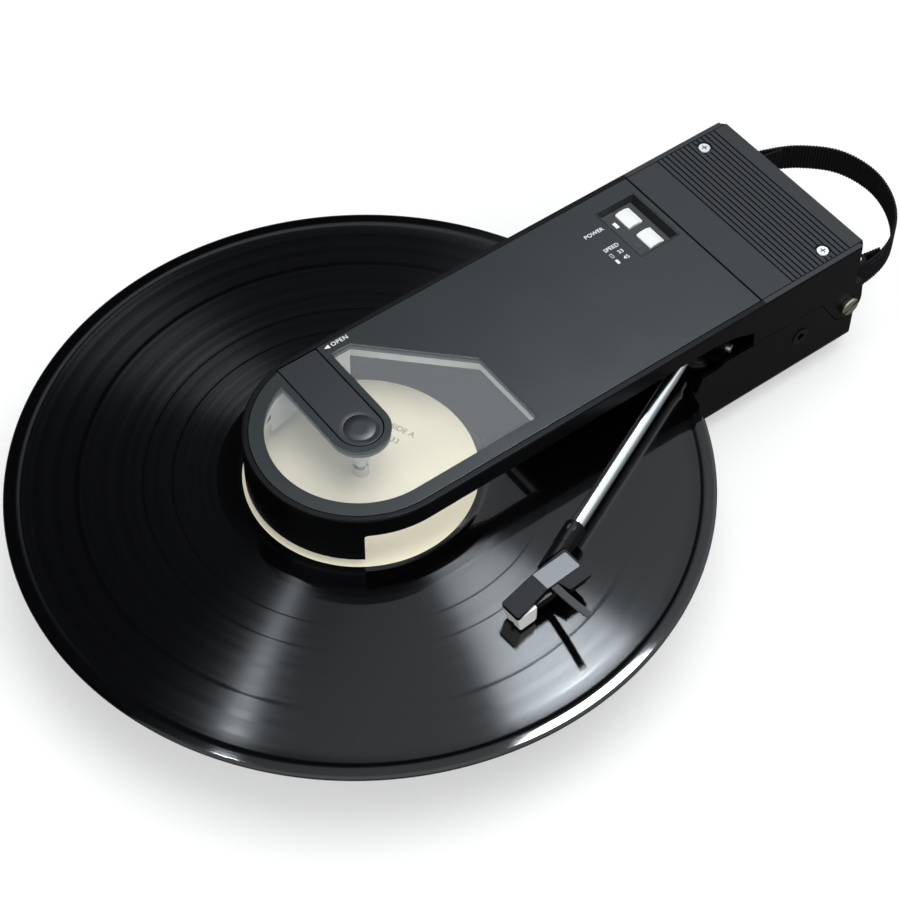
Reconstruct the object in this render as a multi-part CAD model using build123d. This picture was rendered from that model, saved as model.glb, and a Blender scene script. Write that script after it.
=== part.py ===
from build123d import *
import os
from math import atan2, cos, degrees, radians, sin, sqrt, tan

# Portable turntable with a twelve inch disc clamped on its small platter.
# Everything is drawn about the spindle axis, with z = 0 at the disc's top face,
# +X towards the lid hinge, -Y on the tonearm's side and +Z up. The last lines move
# the whole so that its origin lies under its middle, on the surface it stands on.
os.makedirs("parts", exist_ok=True)

# Casing
half_width = 49.1
lid_top = 29.3
base_bottom = -34.2
foot_height = 6.5
seam_z = -19.0
deck_z = -5.6
rear_deck_z = 4.3
base_wall = 2.4
deck_plate = 2.2
bottom_round = 7.5
rear_corner = 3.0
well_rim = 2.9
arm_bay_reach = 2.75
arm_bay_ramp = 2.4
arm_bay_lip = 2.4
arm_bay_lip_length = 9.0
arm_bay_step_length = 5.0
rear_block_clear = 26.0
rear_block_length = 49.9
base_setback = 7.8
lid_setback = 5.6
cut_past = 11.0
running_gap = 0.05
fit_gap = 0.3
seam_chamfer = 0.4

# Disc, platter and drive
disc_radius = 150.75
disc_rim_width = 7.5
disc_thick = 2.1
groove_sink = 0.25
label_radius = 50.25
label_land = 52.5
label_thick = 0.12
hole_radius = 3.62
platter_gap = 1.2
platter_plate = 2.8
platter_rim_inset = 7.0
platter_rim_wall = 2.2
platter_rim_drop = 8.0
platter_hub_radius = 8.0
platter_hub_drop = 8.4
mat_inset = 1.0
mat_thick = 1.0
mat_hole = 10.0
spindle_radius = 3.57
spindle_shaft = 2.5
spindle_collar = 4.4
spindle_neck = 2.6
spindle_neck_top = 7.6
spindle_tip = 1.0
bush_radius = 5.0
bush_length = 13.0
bearing_boss = 7.6
shaft_drop = 26.0
motor_gap = 7.5
motor_radius = 11.5
motor_height = 15.0
motor_clear = 0.4
pulley_radius = 4.0
pulley_height = 5.0
pulley_flange = 0.8
motor_shaft = 1.0
bracket_plate = 1.2
bracket_half = 22.0
bracket_width = 18.0
bracket_corner = 4.0
bracket_screw_y = 18.0
belt_thick = 0.8
belt_height = 3.0

# Lid
lid_wall = 2.6
rim_width = 2.75
panel_gap = 0.35
panel_thick = 2.2
lid_deck = 2.0
rim_drop = 0.25
skirt_gap = 3.5
notch_x = -27.0
arm_edge_z = 19.5
arm_cut_flat = 5.5
arm_cut_bend = 5.5
arm_cut_bend_z = 17.9
arm_cut_rear = 17.1
arm_cut_rear_z = 13.2
arm_cut_foot = 0.4
trim_length = 59.7
trim_gap = 0.8
groove_start = 41.8
groove_end = 8.2
groove_count = 14
groove_width = 0.85
groove_depth = 0.7
trim_screw_back = 18.7
trim_screw_inset = 9.1
trim_screw_head = 2.9
trim_screw_shaft = 1.4
counterbore = 3.7
counterbore_depth = 1.3
screw_boss = 3.4
screw_boss_drop = 8.0

# Window in the panel and the light well round it
window_border = 9.5
window_rear = 62.8
window_far_x = 23.6
window_bevel = 1.2
window_lip = 0.5
window_gap = 0.1
strip_border = 13.5
well_gap = 0.8
well_wall = 1.2
well_low = 20.4
well_back_low = 5.5
well_back_y = 36.0

# Clamp lever across the window
strip_half = 9.9
strip_gap = 0.45
strip_thick = 2.4
strip_drop = 0.2
dish_radius = 8.7
dish_depth = 0.5
lever_axis_y = 22.0
lever_pin_radius = 0.8
lug_half = 2.2
cradle_wall = 1.4
cradle_floor = 1.1
cradle_room = 2.1
clamp_radius = 5.4
clamp_tip = 3.2
clamp_top = 20.0
clamp_waist = 13.0
clamp_bottom = 7.9
clamp_post = 2.4
clamp_hole = 6.8

# Switch recess, buttons and lights
recess_back = 2.5
recess_length = 22.6
recess_inset = 11.6
recess_width = 32.6
recess_floor = 26.3
recess_plate = 1.6
recess_slope = 1.6
recess_slope_rear = 2.6
button_length = 8.0
button_width = 10.2
button_back = 10.3
button_inset = 9.6
button_pitch = 15.0
button_top = 27.4
button_crown = 0.7
button_gap = 0.3
button_flange = 0.8
button_travel = 0.8
button_stem = 23.4
light_front = 4.9
light_width = 1.7
light_length = 3.3
board_z = 20.4
board_thick = 1.6

# Hinge, cheeks and strap posts
hinge_z = -6.9
cheek_radius = 8.5
cheek_length = 17.7
cheek_thick = 3.3
cheek_gap = 0.4
barrel_radius = 11.3
hinge_shaft = 2.5
hinge_shaft_length = 9.0
hinge_head = 4.75
hinge_head_thick = 2.2
hinge_slot = 1.2
hinge_boss_depth = 5.0
lid_notch_gap = 0.9
lid_notch_z = 16.5
strap_post_inset = 8.6
strap_post_radius = 1.6
strap_post_back = 3.8
strap_ear_half = 3.6
strap_ear_thick = 1.5
strap_low = -8.2
strap_width = 15.0
strap_thick = 1.5
strap_bow = 47.1
strap_leave = 22.0
strap_seam = 0.11
strap_gap = 0.5

# Tonearm
pivot_clear = 8.75
pivot_inset = 16.6
arm_z = 8.0
arm_turn = 24.3
tube_radius = 3.1
tube_bore = 2.4
tube_length = 131.0
tube_tail = 9.0
collar_grip = 11.5
collar_length = 12.0
collar_radius = 4.5
pedestal_flange = 8.0
pedestal_hub = 5.2
pedestal_top = -0.6
arm_bush_radius = 3.2
arm_shaft = 1.5
arm_shaft_drop = 13.4
yoke_low = 0.8
yoke_plate = 2.2
yoke_half = 5.0
ear_inner = 11.4
ear_outer = 13.4
ear_top = 11.6
pin_radius = 1.2
pin_head = 2.0
pin_reach = 15.6
bar_half = 11.0
bar_radius = 3.1
weight_radius = 6.0
weight_front = 9.5
weight_length = 12.5
stylus_z = 0.05
head_reach = 36.27
head_offset = -2.56
head_skew = 20.8
head_top = 12.2
head_plate = 2.0
head_round = 1.3
patch_front = 13.5
patch_rear = 31.4
patch_right = -3.4
patch_left = 5.6
patch_thick = 0.4
patch_border = 0.5
nose_front = -5.0
nose_right = -6.9
nose_left = 3.6
block_front = 20.6
block_rear = 32.6
block_right = -9.5
block_left = 7.6
block_low = 6.4
block_inset = 1.2
wing_root = 1.4
wing_shift = 0.7
neck_radius = 4.2
neck_length = 14.0
cartridge_rear = 17.0
cartridge_low = 5.4
cartridge_inset = 0.9
holder_front = -3.2
holder_lean = 1.5
holder_rear = 5.7
holder_low = 1.1
holder_right = -6.3
holder_left = 3.1
holder_corner = 0.9
channel_half = 0.9
channel_top = 2.8
channel_rear = 4.5
cantilever_radius = 0.3
needle_top = 1.0
lift_x = 17.2
lift_width = 3.4
lift_thick = 0.9
lift_length = 24.2
lift_turn = -7.2
lift_sag = 0.6
lift_tip_z = 20.0
set_screw_radius = 1.9
set_screw_place = 4.2

# Inner pieces, sockets and feet
battery_gap = 12.5
battery_length = 56.0
battery_half = 20.0
battery_height = 17.0
board_gap = 6.0
board_back = 10.2
board_near_y = -12.0
board_inset = 15.6
main_board_z = -21.6
board_post_inset = 5.0
chip_size = (10.0, 8.0, 1.6)
chip_pitch = 16.0
chip_place = (14.0, 12.0)
capacitor_radius = 3.0
capacitor_height = 6.5
capacitor_pitch = 20.0
capacitor_place = (20.0, 14.0)
post_radius = 2.6
jack_forward = 28.5
jack_z = -9.3
jack_ring = 4.4
jack_bore = 1.8
jack_depth = 14.0
jack_body = 5.0
jack_proud = 0.4
charge_y = 14.0
charge_z = -13.0
charge_width = 9.0
charge_height = 3.3
charge_depth = 7.5
foot_radius = 6.5
foot_front_x = -6.0
foot_back = 28.2
foot_inset = 13.8
foot_round = 1.0
case_screw_front = 112.0
case_screw_back = 47.2
case_screw_inset = 11.1
case_screw_head = 3.0
case_screw_shaft = 1.4
case_screw_sink = 2.4
case_screw_boss = 3.6

# Places that follow from the sizes above
pivot_x = disc_radius + pivot_clear
pivot_y = pivot_inset - half_width
arm_bay_x = disc_radius - arm_bay_reach
arm_bay_step = arm_bay_x + arm_bay_lip_length
rear_block_x = pivot_x + rear_block_clear
hinge_x = rear_block_x + rear_block_length
base_rear = hinge_x + base_setback
lid_rear = hinge_x + lid_setback
side_past = half_width + cut_past
trim_front = lid_rear - trim_length
panel_rear = trim_front - trim_gap
groove_first = lid_rear - groove_start
groove_last = lid_rear - groove_end
trim_screw_x = lid_rear - trim_screw_back
trim_screw_y = half_width - trim_screw_inset
cheek_front = hinge_x - cheek_length
well_radius = half_width - well_rim
platter_radius = well_radius - platter_gap
platter_rim_radius = platter_radius - platter_rim_inset
mat_radius = platter_radius - mat_inset
motor_x = platter_radius + motor_gap + motor_radius
window_radius = half_width - window_border
window_side = window_radius
recess_rear = panel_rear - recess_back
recess_far = half_width - recess_inset
recess = (recess_rear - recess_length, recess_rear, recess_far - recess_width, recess_far)
button_x = recess_rear - button_back
light_x = recess[0] + light_front
power_y = recess_far - button_inset
speed_y = power_y - button_pitch
strap_post_x = base_rear + strap_post_back
strap_post_y = half_width - strap_post_inset
lid_notch_y = strap_post_y - strap_ear_half - lid_notch_gap
collar_start = tube_length - collar_grip
battery_x = motor_x + motor_radius + battery_gap
battery = (battery_x, battery_x + battery_length, -battery_half, battery_half)
main_board = (battery[1] + board_gap, base_rear - board_back, board_near_y, half_width - board_inset)
jack_x = hinge_x - jack_forward
foot_rear_x = base_rear - foot_back
foot_y = half_width - foot_inset
case_screw_x = (case_screw_front, base_rear - case_screw_back)
case_screw_y = half_width - case_screw_inset

# Levels that follow from the sizes above
panel_z = lid_top - panel_thick
deck_low = panel_z - lid_deck
lid_side_z = rear_deck_z + fit_gap
disc_low = -disc_thick
mat_top = disc_low - label_thick
platter_top = mat_top - mat_thick
platter_low = platter_top - platter_plate
hub_low = platter_low - platter_hub_drop
floor_z = base_bottom + base_wall
deck_under = deck_z - deck_plate
rim_low = platter_low - platter_rim_drop
belt_top = rim_low + 0.6 + belt_height
pulley_low = belt_top - belt_height / 2 - pulley_height / 2
bush_top = hub_low - fit_gap
motor_top = pulley_low - bracket_plate - motor_clear
strip_top = lid_top - strip_drop
strip_low = strip_top - strip_thick
strip_end = half_width - rim_width - strip_gap
slot_half = strip_half + strip_gap
lever_axis_z = deck_low + lid_deck / 2
head_low = head_top - patch_thick - head_plate
stylus_y = (holder_right + holder_left) / 2
cradle_low = strip_low - cradle_room - cradle_floor
strap_top = strap_low + strap_width
pivot = Vector(pivot_x, pivot_y, 0)
arm_frame = Location((pivot_x, pivot_y, 0), (0, 0, 180 + arm_turn))
head_frame = arm_frame * Location((tube_length + head_reach, head_offset, 0), (0, 0, 180 - head_skew))


def slab(x0, x1, y0, y1, z0, z1):
    """Block between two corners."""
    return Pos((x0 + x1) / 2, (y0 + y1) / 2, (z0 + z1) / 2) * Box(x1 - x0, y1 - y0, z1 - z0)


def rod(x, y, z0, z1, radius):
    """Upright round bar."""
    return Pos(x, y, (z0 + z1) / 2) * Cylinder(radius, z1 - z0)


def rod_y(x, z, y0, y1, radius):
    """Round bar along Y."""
    return Pos(x, (y0 + y1) / 2, z) * Rot(90, 0, 0) * Cylinder(radius, y1 - y0)


def rod_x(y, z, x0, x1, radius):
    """Round bar along X."""
    return Pos((x0 + x1) / 2, y, z) * Rot(0, 90, 0) * Cylinder(radius, x1 - x0)


def turned(points):
    """Solid of revolution about the Z axis from (radius, height) points."""
    return revolve(Plane.XZ * make_face(Polyline(*points, close=True)), Axis.Z)


def side_plate(face, y0, y1):
    """Sketch in X and Z made into a plate between two Y places."""
    plate = extrude(Plane.XZ * face, y1 - y0)
    return Pos(0, y1, 0) * plate


def casing_plan(inset, rear):
    """Plan of the casing: half round nose about the spindle, then straight sides."""
    w = half_width - inset
    nose = ThreePointArc((0, w), (-w, 0), (0, -w))
    sides = Polyline((0, -w), (rear, -w), (rear, w), (0, w))
    return make_face(Curve() + [nose, sides])


def plan_slab(face, z0, z1):
    """Plan sketch made into a plate between two heights."""
    return Pos(0, 0, z0) * extrude(face, z1 - z0)


def square_rear(solid):
    """Takes the sharp upright corners off the rear end."""
    rear = solid.edges().filter_by(Axis.Z).sort_by(Axis.X)[-2:]
    return chamfer(rear, rear_corner)


def strip_plan(half, end_y):
    """Plan of the clamp lever: straight sides and a round end about the spindle."""
    tip = ThreePointArc((-half, 0), (0, -half), (half, 0))
    sides = Polyline((half, 0), (half, end_y), (-half, end_y), (-half, 0))
    return make_face(Curve() + [tip, sides])


def window_plan(grow, notch):
    """Plan of the window: round nose, slanted far corner and a notch for the lever."""
    r = window_radius + grow
    rear = window_rear + grow
    far = window_side + grow
    far_x = window_far_x + grow * tan(radians(22.5))
    corner_y = far - rear + far_x
    left_x = -sqrt(r * r - (0.9 * r) ** 2)
    nose = ThreePointArc((left_x, 0.9 * r), (-r, 0), (0, -r))
    sides = Polyline((0, -r), (rear, -r), (rear, corner_y), (far_x, far), (0, far), (left_x, 0.9 * r))
    plan = make_face(Curve() + [nose, sides])
    if notch:
        plan -= strip_plan(strip_border - grow, far + half_width)
    return plan


def cheek_plan(grow):
    """Side view of a lid cheek: a round end about the hinge under the side wall."""
    eye = Pos(hinge_x, hinge_z) * Circle(cheek_radius + grow)
    top = Line((cheek_front - grow, lid_side_z), (hinge_x + cheek_radius - 1 + grow, lid_side_z))
    return make_hull(eye.edges() + top.edges())


def base_lower_shell():
    """Bottom tray with a well rounded lower edge, bosses and screw holes."""
    outer = plan_slab(casing_plan(0, base_rear), base_bottom, seam_z)
    outer = fillet(outer.faces().sort_by(Axis.Z)[0].edges(), bottom_round)
    outer &= square_rear(plan_slab(casing_plan(0, base_rear), base_bottom, seam_z))
    inner_rear = base_rear - base_wall
    inner = plan_slab(casing_plan(base_wall, inner_rear), floor_z, seam_z + 1)
    inner = fillet(inner.faces().sort_by(Axis.Z)[0].edges(), bottom_round - base_wall)
    tray = outer - inner
    tray = chamfer(tray.faces().sort_by(Axis.Z)[-1].outer_wire().edges(), seam_chamfer)
    tray += rod(0, 0, floor_z - 0.1, bush_top - 1.5, bearing_boss)
    tray -= rod(0, 0, floor_z, bush_top + 1, bush_radius)
    inset = board_post_inset
    for x in (main_board[0] + inset, main_board[1] - inset):
        for y in (main_board[2] + inset, main_board[3] - inset):
            tray += rod(x, y, floor_z - 0.1, main_board_z, post_radius)
    for x in case_screw_x:
        for y in (-case_screw_y, case_screw_y):
            tray += rod(x, y, floor_z - 0.1, seam_z - 3, case_screw_boss)
            tray -= rod(x, y, base_bottom - 1, base_bottom + case_screw_sink, case_screw_head + fit_gap)
            tray -= rod(x, y, base_bottom, seam_z, case_screw_shaft + fit_gap)
    return tray


def base_upper_shell():
    """Deck with the platter well, the open arm bay and the raised rear block."""
    shell = square_rear(plan_slab(casing_plan(0, base_rear), seam_z, rear_deck_z))
    step_end = arm_bay_step + arm_bay_step_length
    lip = Polyline((arm_bay_x - arm_bay_ramp, deck_z), (arm_bay_x, arm_bay_lip), (arm_bay_step, arm_bay_lip),
                   (step_end, rear_deck_z), (step_end, rear_deck_z + 1),
                   (-side_past, rear_deck_z + 1), (-side_past, deck_z), close=True)
    shell -= side_plate(make_face(lip), -side_past, side_past)
    inner_half = half_width - base_wall
    shell -= slab(arm_bay_x - 10, rear_block_x, -inner_half, inner_half, deck_z, rear_deck_z + 1)
    shell -= plan_slab(casing_plan(base_wall, base_rear - base_wall), seam_z - 1, deck_under)
    shell -= slab(rear_block_x + base_wall, base_rear - base_wall, -inner_half, inner_half,
                  deck_under - 1, rear_deck_z - deck_plate - 0.5)
    shell -= rod(0, 0, deck_under - 1, deck_z + 1, well_radius)
    for side in (-1, 1):
        outside = sorted((side * (half_width - cheek_thick - cheek_gap), side * (half_width + 1)))
        backing = sorted((side * (half_width - cheek_thick - cheek_gap),
                          side * (half_width - cheek_thick - cheek_gap - hinge_boss_depth)))
        shell -= side_plate(cheek_plan(cheek_gap), *outside)
        keep = slab(cheek_front - 4, base_rear - base_wall + 0.5, backing[0], backing[1], seam_z, rear_deck_z)
        shell += side_plate(cheek_plan(cheek_gap + 1.6), *backing) & keep
        shell -= rod_y(hinge_x, hinge_z, backing[0], backing[1], hinge_shaft)
        post_y = side * strap_post_y
        plate = slab(base_rear - base_wall, base_rear, post_y - strap_ear_half, post_y + strap_ear_half,
                     strap_low - strap_gap - strap_ear_thick, strap_top + strap_gap + strap_ear_thick)
        shell += plate
    corner = slab(hinge_x, base_rear + 1, -strap_post_y + strap_ear_half, strap_post_y - strap_ear_half,
                  hinge_z, rear_deck_z + 1)
    shell -= corner - rod_y(hinge_x, hinge_z, -side_past, side_past, barrel_radius)
    for side in (-1, 1):
        edge = sorted((side * (strap_post_y + strap_ear_half), side * (half_width + 1)))
        outer = slab(hinge_x, base_rear + 1, edge[0], edge[1], hinge_z, rear_deck_z + 1)
        shell -= outer - rod_y(hinge_x, hinge_z, -side_past, side_past, barrel_radius)
        for z in (strap_low - strap_gap - strap_ear_thick, strap_top + strap_gap):
            ear = slab(base_rear - 0.5, strap_post_x, side * strap_post_y - strap_ear_half,
                       side * strap_post_y + strap_ear_half, z, z + strap_ear_thick)
            ear += rod(strap_post_x, side * strap_post_y, z, z + strap_ear_thick, strap_ear_half)
            ear -= rod(strap_post_x, side * strap_post_y, z - 1, z + 3, strap_post_radius)
            shell += ear
    shell -= rod(pivot_x, pivot_y, deck_under - 1, deck_z + 1, pedestal_hub)
    shell -= rod_y(jack_x, jack_z, -half_width - 1, -half_width + base_wall + 1, jack_ring)
    shell -= slab(base_rear - base_wall - 1, base_rear + 1, charge_y - charge_width / 2,
                  charge_y + charge_width / 2, charge_z - charge_height / 2, charge_z + charge_height / 2)
    for x in case_screw_x:
        for y in (-case_screw_y, case_screw_y):
            top = deck_under + 0.1 if x < rear_block_x else rear_deck_z - deck_plate - 0.4
            shell += rod(x, y, seam_z - 3, top, case_screw_boss)
            shell -= rod(x, y, seam_z - 4, seam_z + 6, case_screw_shaft)
    for y in (-bracket_screw_y, bracket_screw_y):
        shell += rod(motor_x, y, pulley_low - motor_clear, deck_under + 0.1, post_radius)
        shell -= rod(motor_x, y, pulley_low - 1, deck_under - 1, motor_shaft)
    return shell


def rubber_feet():
    """Four round feet under the tray."""
    feet = []
    for x in (foot_front_x, foot_rear_x):
        for y in (-foot_y, foot_y):
            foot = rod(x, y, base_bottom - foot_height, base_bottom, foot_radius)
            foot = fillet(foot.faces().sort_by(Axis.Z)[0].edges(), foot_round)
            feet.append(foot)
    return Compound(children=feet)


def case_screws():
    """Four screws that hold the two base shells together from below."""
    screws = []
    for x in case_screw_x:
        for y in (-case_screw_y, case_screw_y):
            low = base_bottom + 0.5
            head = rod(x, y, low, base_bottom + case_screw_sink, case_screw_head)
            shaft = rod(x, y, low, seam_z + 5, case_screw_shaft)
            screws.append(head + shaft)
    return Compound(children=screws)


def platter():
    """Small platter with a belt rim and a hub under its plate."""
    rim = platter_rim_radius
    wall = rim - platter_rim_wall
    hub = platter_hub_radius
    bore = spindle_shaft
    return turned([(bore, hub_low), (hub, hub_low), (hub, platter_low), (wall, platter_low), (wall, rim_low),
                   (rim, rim_low), (rim, platter_low), (platter_radius - 1, platter_low),
                   (platter_radius, platter_low + 1), (platter_radius, platter_top - 0.6),
                   (platter_radius - 0.6, platter_top), (mat_hole - 0.4, platter_top),
                   (mat_hole - 0.4, mat_top), (bore, mat_top)])


def platter_mat():
    """Rubber mat with shallow rings cut into its top."""
    mat = rod(0, 0, platter_top, mat_top, mat_radius) - rod(0, 0, platter_top - 1, mat_top + 1, mat_hole)
    for k in range(3):
        ring = mat_hole + 6 + 10 * k
        mat -= rod(0, 0, mat_top - 0.3, mat_top + 1, ring + 1) - rod(0, 0, mat_top - 1, mat_top + 2, ring)
    return mat


def spindle():
    """Chrome spindle: bearing shaft, disc collar, neck and a cone that the clamp seats on."""
    shaft, collar, neck = spindle_shaft, spindle_radius, spindle_neck
    return turned([(0, mat_top - shaft_drop), (shaft - 0.6, mat_top - shaft_drop),
                   (shaft, mat_top - shaft_drop + 0.6), (shaft, mat_top), (collar, mat_top),
                   (collar, spindle_collar), (neck, spindle_collar + 1), (neck, spindle_neck_top),
                   (spindle_tip, spindle_neck_top + neck - spindle_tip),
                   (0, spindle_neck_top + neck - spindle_tip + 0.3)])


def record_disc():
    """Twelve inch disc: raised rim bead, lower grooved band and a raised label land."""
    rim = disc_radius - disc_rim_width
    land = label_land
    return turned([(hole_radius, disc_low), (land, disc_low), (land + 2, disc_low + groove_sink),
                   (rim, disc_low + groove_sink), (rim + 2, disc_low), (disc_radius - 0.7, disc_low),
                   (disc_radius, disc_low + 0.7), (disc_radius, -0.7), (disc_radius - 0.7, 0), (rim + 2, 0),
                   (rim, -groove_sink), (land + 2, -groove_sink), (land, 0), (hole_radius, 0)])


def record_label():
    """Paper labels on the two faces of the disc."""
    labels = []
    for z in (0, mat_top):
        paper = rod(0, 0, z, z + label_thick, label_radius)
        labels.append(paper - rod(0, 0, z - 1, z + 1, hole_radius))
    return Compound(children=labels)


def platter_bush():
    """Bronze bush and thrust pad in the tray's boss."""
    low = bush_top - bush_length
    bush = rod(0, 0, low, bush_top, bush_radius)
    bush -= rod(0, 0, low - 1, bush_top + 1, spindle_shaft + running_gap)
    pad = rod(0, 0, floor_z, mat_top - shaft_drop - fit_gap, bush_radius)
    return Compound(children=[bush, pad])


def drive_motor():
    """Motor can standing under the deck."""
    low = motor_top - motor_height
    can = rod(motor_x, 0, low, motor_top, motor_radius)
    can = chamfer(can.edges().filter_by(GeomType.CIRCLE), 0.8)
    return can - rod(motor_x, 0, motor_top - 5, motor_top + 1, motor_shaft + running_gap)


def motor_bracket():
    """Steel plate that hangs the motor from two posts of the deck."""
    half = bracket_width / 2
    plate = slab(motor_x - half, motor_x + half, -bracket_half, bracket_half, motor_top,
                 motor_top + bracket_plate)
    plate = fillet(plate.edges().filter_by(Axis.Z), bracket_corner)
    plate -= rod(motor_x, 0, motor_top - 1, motor_top + 3, motor_shaft + 1)
    for y in (-bracket_screw_y, bracket_screw_y):
        plate -= rod(motor_x, y, motor_top - 1, motor_top + 3, motor_shaft + fit_gap)
    return plate


def bracket_screws():
    """Two screws through the motor bracket into the deck posts."""
    screws = []
    for y in (-bracket_screw_y, bracket_screw_y):
        head = rod(motor_x, y, motor_top - 1.4, motor_top, 2)
        screws.append(head + rod(motor_x, y, motor_top - 1, motor_top + 6, motor_shaft))
    return Compound(children=screws)


def motor_pulley():
    """Flanged pulley on the motor's shaft."""
    r, flange, shaft = pulley_radius, pulley_radius + pulley_flange, motor_shaft
    high = pulley_low + pulley_height
    wheel = turned([(0, motor_top - 4.5), (shaft, motor_top - 4.5), (shaft, pulley_low), (flange, pulley_low),
                    (r, pulley_low + 0.7), (r, high - 0.7), (flange, high), (0, high)])
    return wheel.moved(Pos(motor_x, 0, 0))


def belt_plan(inset):
    """Plan of the belt's path round the platter rim and the pulley."""
    big = Circle(platter_rim_radius + fit_gap + inset)
    small = Pos(motor_x, 0) * Circle(pulley_radius + fit_gap + inset)
    return make_hull(big.edges() + small.edges())


def drive_belt():
    """Flat rubber belt."""
    return plan_slab(belt_plan(belt_thick) - belt_plan(0), belt_top - belt_height, belt_top)


def battery_pack():
    """Flat rechargeable pack with rounded edges."""
    pack = slab(*battery, floor_z + 0.2, floor_z + 0.2 + battery_height)
    return fillet(pack.edges().filter_by(Axis.X), 3)


def main_circuit():
    """Main board on its posts, with its larger parts."""
    x0, x1, y0, y1 = main_board
    top = main_board_z + board_thick
    board = slab(x0, x1, y0, y1, main_board_z, top)
    parts = [board]
    for k in range(4):
        x, y = x0 + chip_place[0] + chip_pitch * k, y0 + chip_place[1]
        parts.append(slab(x, x + chip_size[0], y, y + chip_size[1], top, top + chip_size[2]))
    for k in range(3):
        x, y = x0 + capacitor_place[0] + capacitor_pitch * k, y1 - capacitor_place[1]
        parts.append(rod(x, y, top, top + capacitor_height, capacitor_radius))
    return Compound(children=parts)


def line_jack():
    """Socket for a 3.5 mm plug, with its ring in the side wall."""
    face = -half_width
    ring = rod_y(jack_x, jack_z, face - jack_proud, face + base_wall + 1, jack_ring)
    body = slab(jack_x - jack_body, jack_x + jack_body, face + base_wall, face + jack_depth + 1.5,
                jack_z - jack_body, jack_z + jack_body)
    return ring + body - rod_y(jack_x, jack_z, face - 1, face + jack_depth, jack_bore)


def charge_socket():
    """Flat charging socket in the rear wall."""
    half = charge_width / 2
    high = charge_height / 2
    rear = base_rear
    shell = slab(rear - charge_depth, rear, charge_y - half, charge_y + half,
                 charge_z - high, charge_z + high)
    shell = fillet(shell.edges().filter_by(Axis.X), high * 0.6)
    hollow = slab(rear - charge_depth + 1.2, rear + 1, charge_y - half + 0.4, charge_y + half - 0.4,
                  charge_z - high + 0.4, charge_z + high - 0.4)
    tongue = slab(rear - charge_depth + 1, rear - 1, charge_y - half + 1.4, charge_y + half - 1.4,
                  charge_z - 0.35, charge_z + 0.35)
    return shell - hollow + tongue


def hinge_screws():
    """Two slotted screws that the lid turns on, one at each rear corner."""
    screws = []
    for side in (-1, 1):
        face = side * (half_width + 0.2)
        inner = side * (half_width - hinge_shaft_length)
        head = rod_y(hinge_x, hinge_z, *sorted((face, face + side * hinge_head_thick)), hinge_head)
        rim = head.faces().sort_by(Axis.Y)[-1 if side > 0 else 0].edges()
        head = chamfer(rim, 0.6)
        slot_y = sorted((face + side * (hinge_head_thick - hinge_slot), face + side * 5))
        slot = slab(-6, 6, slot_y[0], slot_y[1], -hinge_slot / 2, hinge_slot / 2)
        head -= Pos(hinge_x, 0, hinge_z) * Rot(0, 28, 0) * slot
        screws.append(head + rod_y(hinge_x, hinge_z, *sorted((inner, face + side * 0.5)), hinge_shaft))
    return Compound(children=screws)


def strap_pins():
    """Two upright pins that the strap loops round."""
    pins = []
    for side in (-1, 1):
        low = strap_low - strap_gap - strap_ear_thick
        pins.append(rod(strap_post_x, side * strap_post_y, low, strap_top + strap_gap + strap_ear_thick,
                        strap_post_radius))
    return Compound(children=pins)


def hand_strap():
    """Webbing strap standing on edge, bowed out behind and looped round both pins."""
    loop_in = strap_post_radius + fit_gap
    loop = loop_in + strap_thick / 2
    side_y = strap_post_y + loop
    bow = strap_bow - strap_thick / 2
    middle = strap_low + strap_width / 2
    lean = radians(strap_leave)
    end = (strap_post_x + loop * sin(lean), strap_post_y + loop * cos(lean))
    path = Spline((strap_post_x, -side_y), (strap_post_x + 0.45 * bow, -0.91 * side_y),
                  (strap_post_x + 0.8 * bow, -0.61 * side_y), (strap_post_x + bow, -0.05 * side_y),
                  (strap_post_x + 0.91 * bow, 0.39 * side_y), (strap_post_x + 0.64 * bow, 0.7 * side_y), end,
                  tangents=[(1, 0), (-cos(lean), sin(lean))])
    section = Plane((strap_post_x, -side_y, 0), x_dir=(0, 1, 0), z_dir=(1, 0, 0))
    band = sweep(section * Rectangle(strap_thick, strap_width), path)
    band = Pos(0, 0, middle) * band
    for side in (-1, 1):
        ring = rod(strap_post_x, side * strap_post_y, strap_low, strap_top, loop_in + strap_thick)
        ring -= rod(strap_post_x, side * strap_post_y, strap_low - 1, strap_top + 1, loop_in)
        seam = path @ (strap_seam if side < 0 else 1 - strap_seam)
        tail = trace(Line((strap_post_x, side * (strap_post_y - loop)), (seam.X, seam.Y)), strap_thick)
        band += ring + plan_slab(tail, strap_low, strap_top)
    return band


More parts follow.
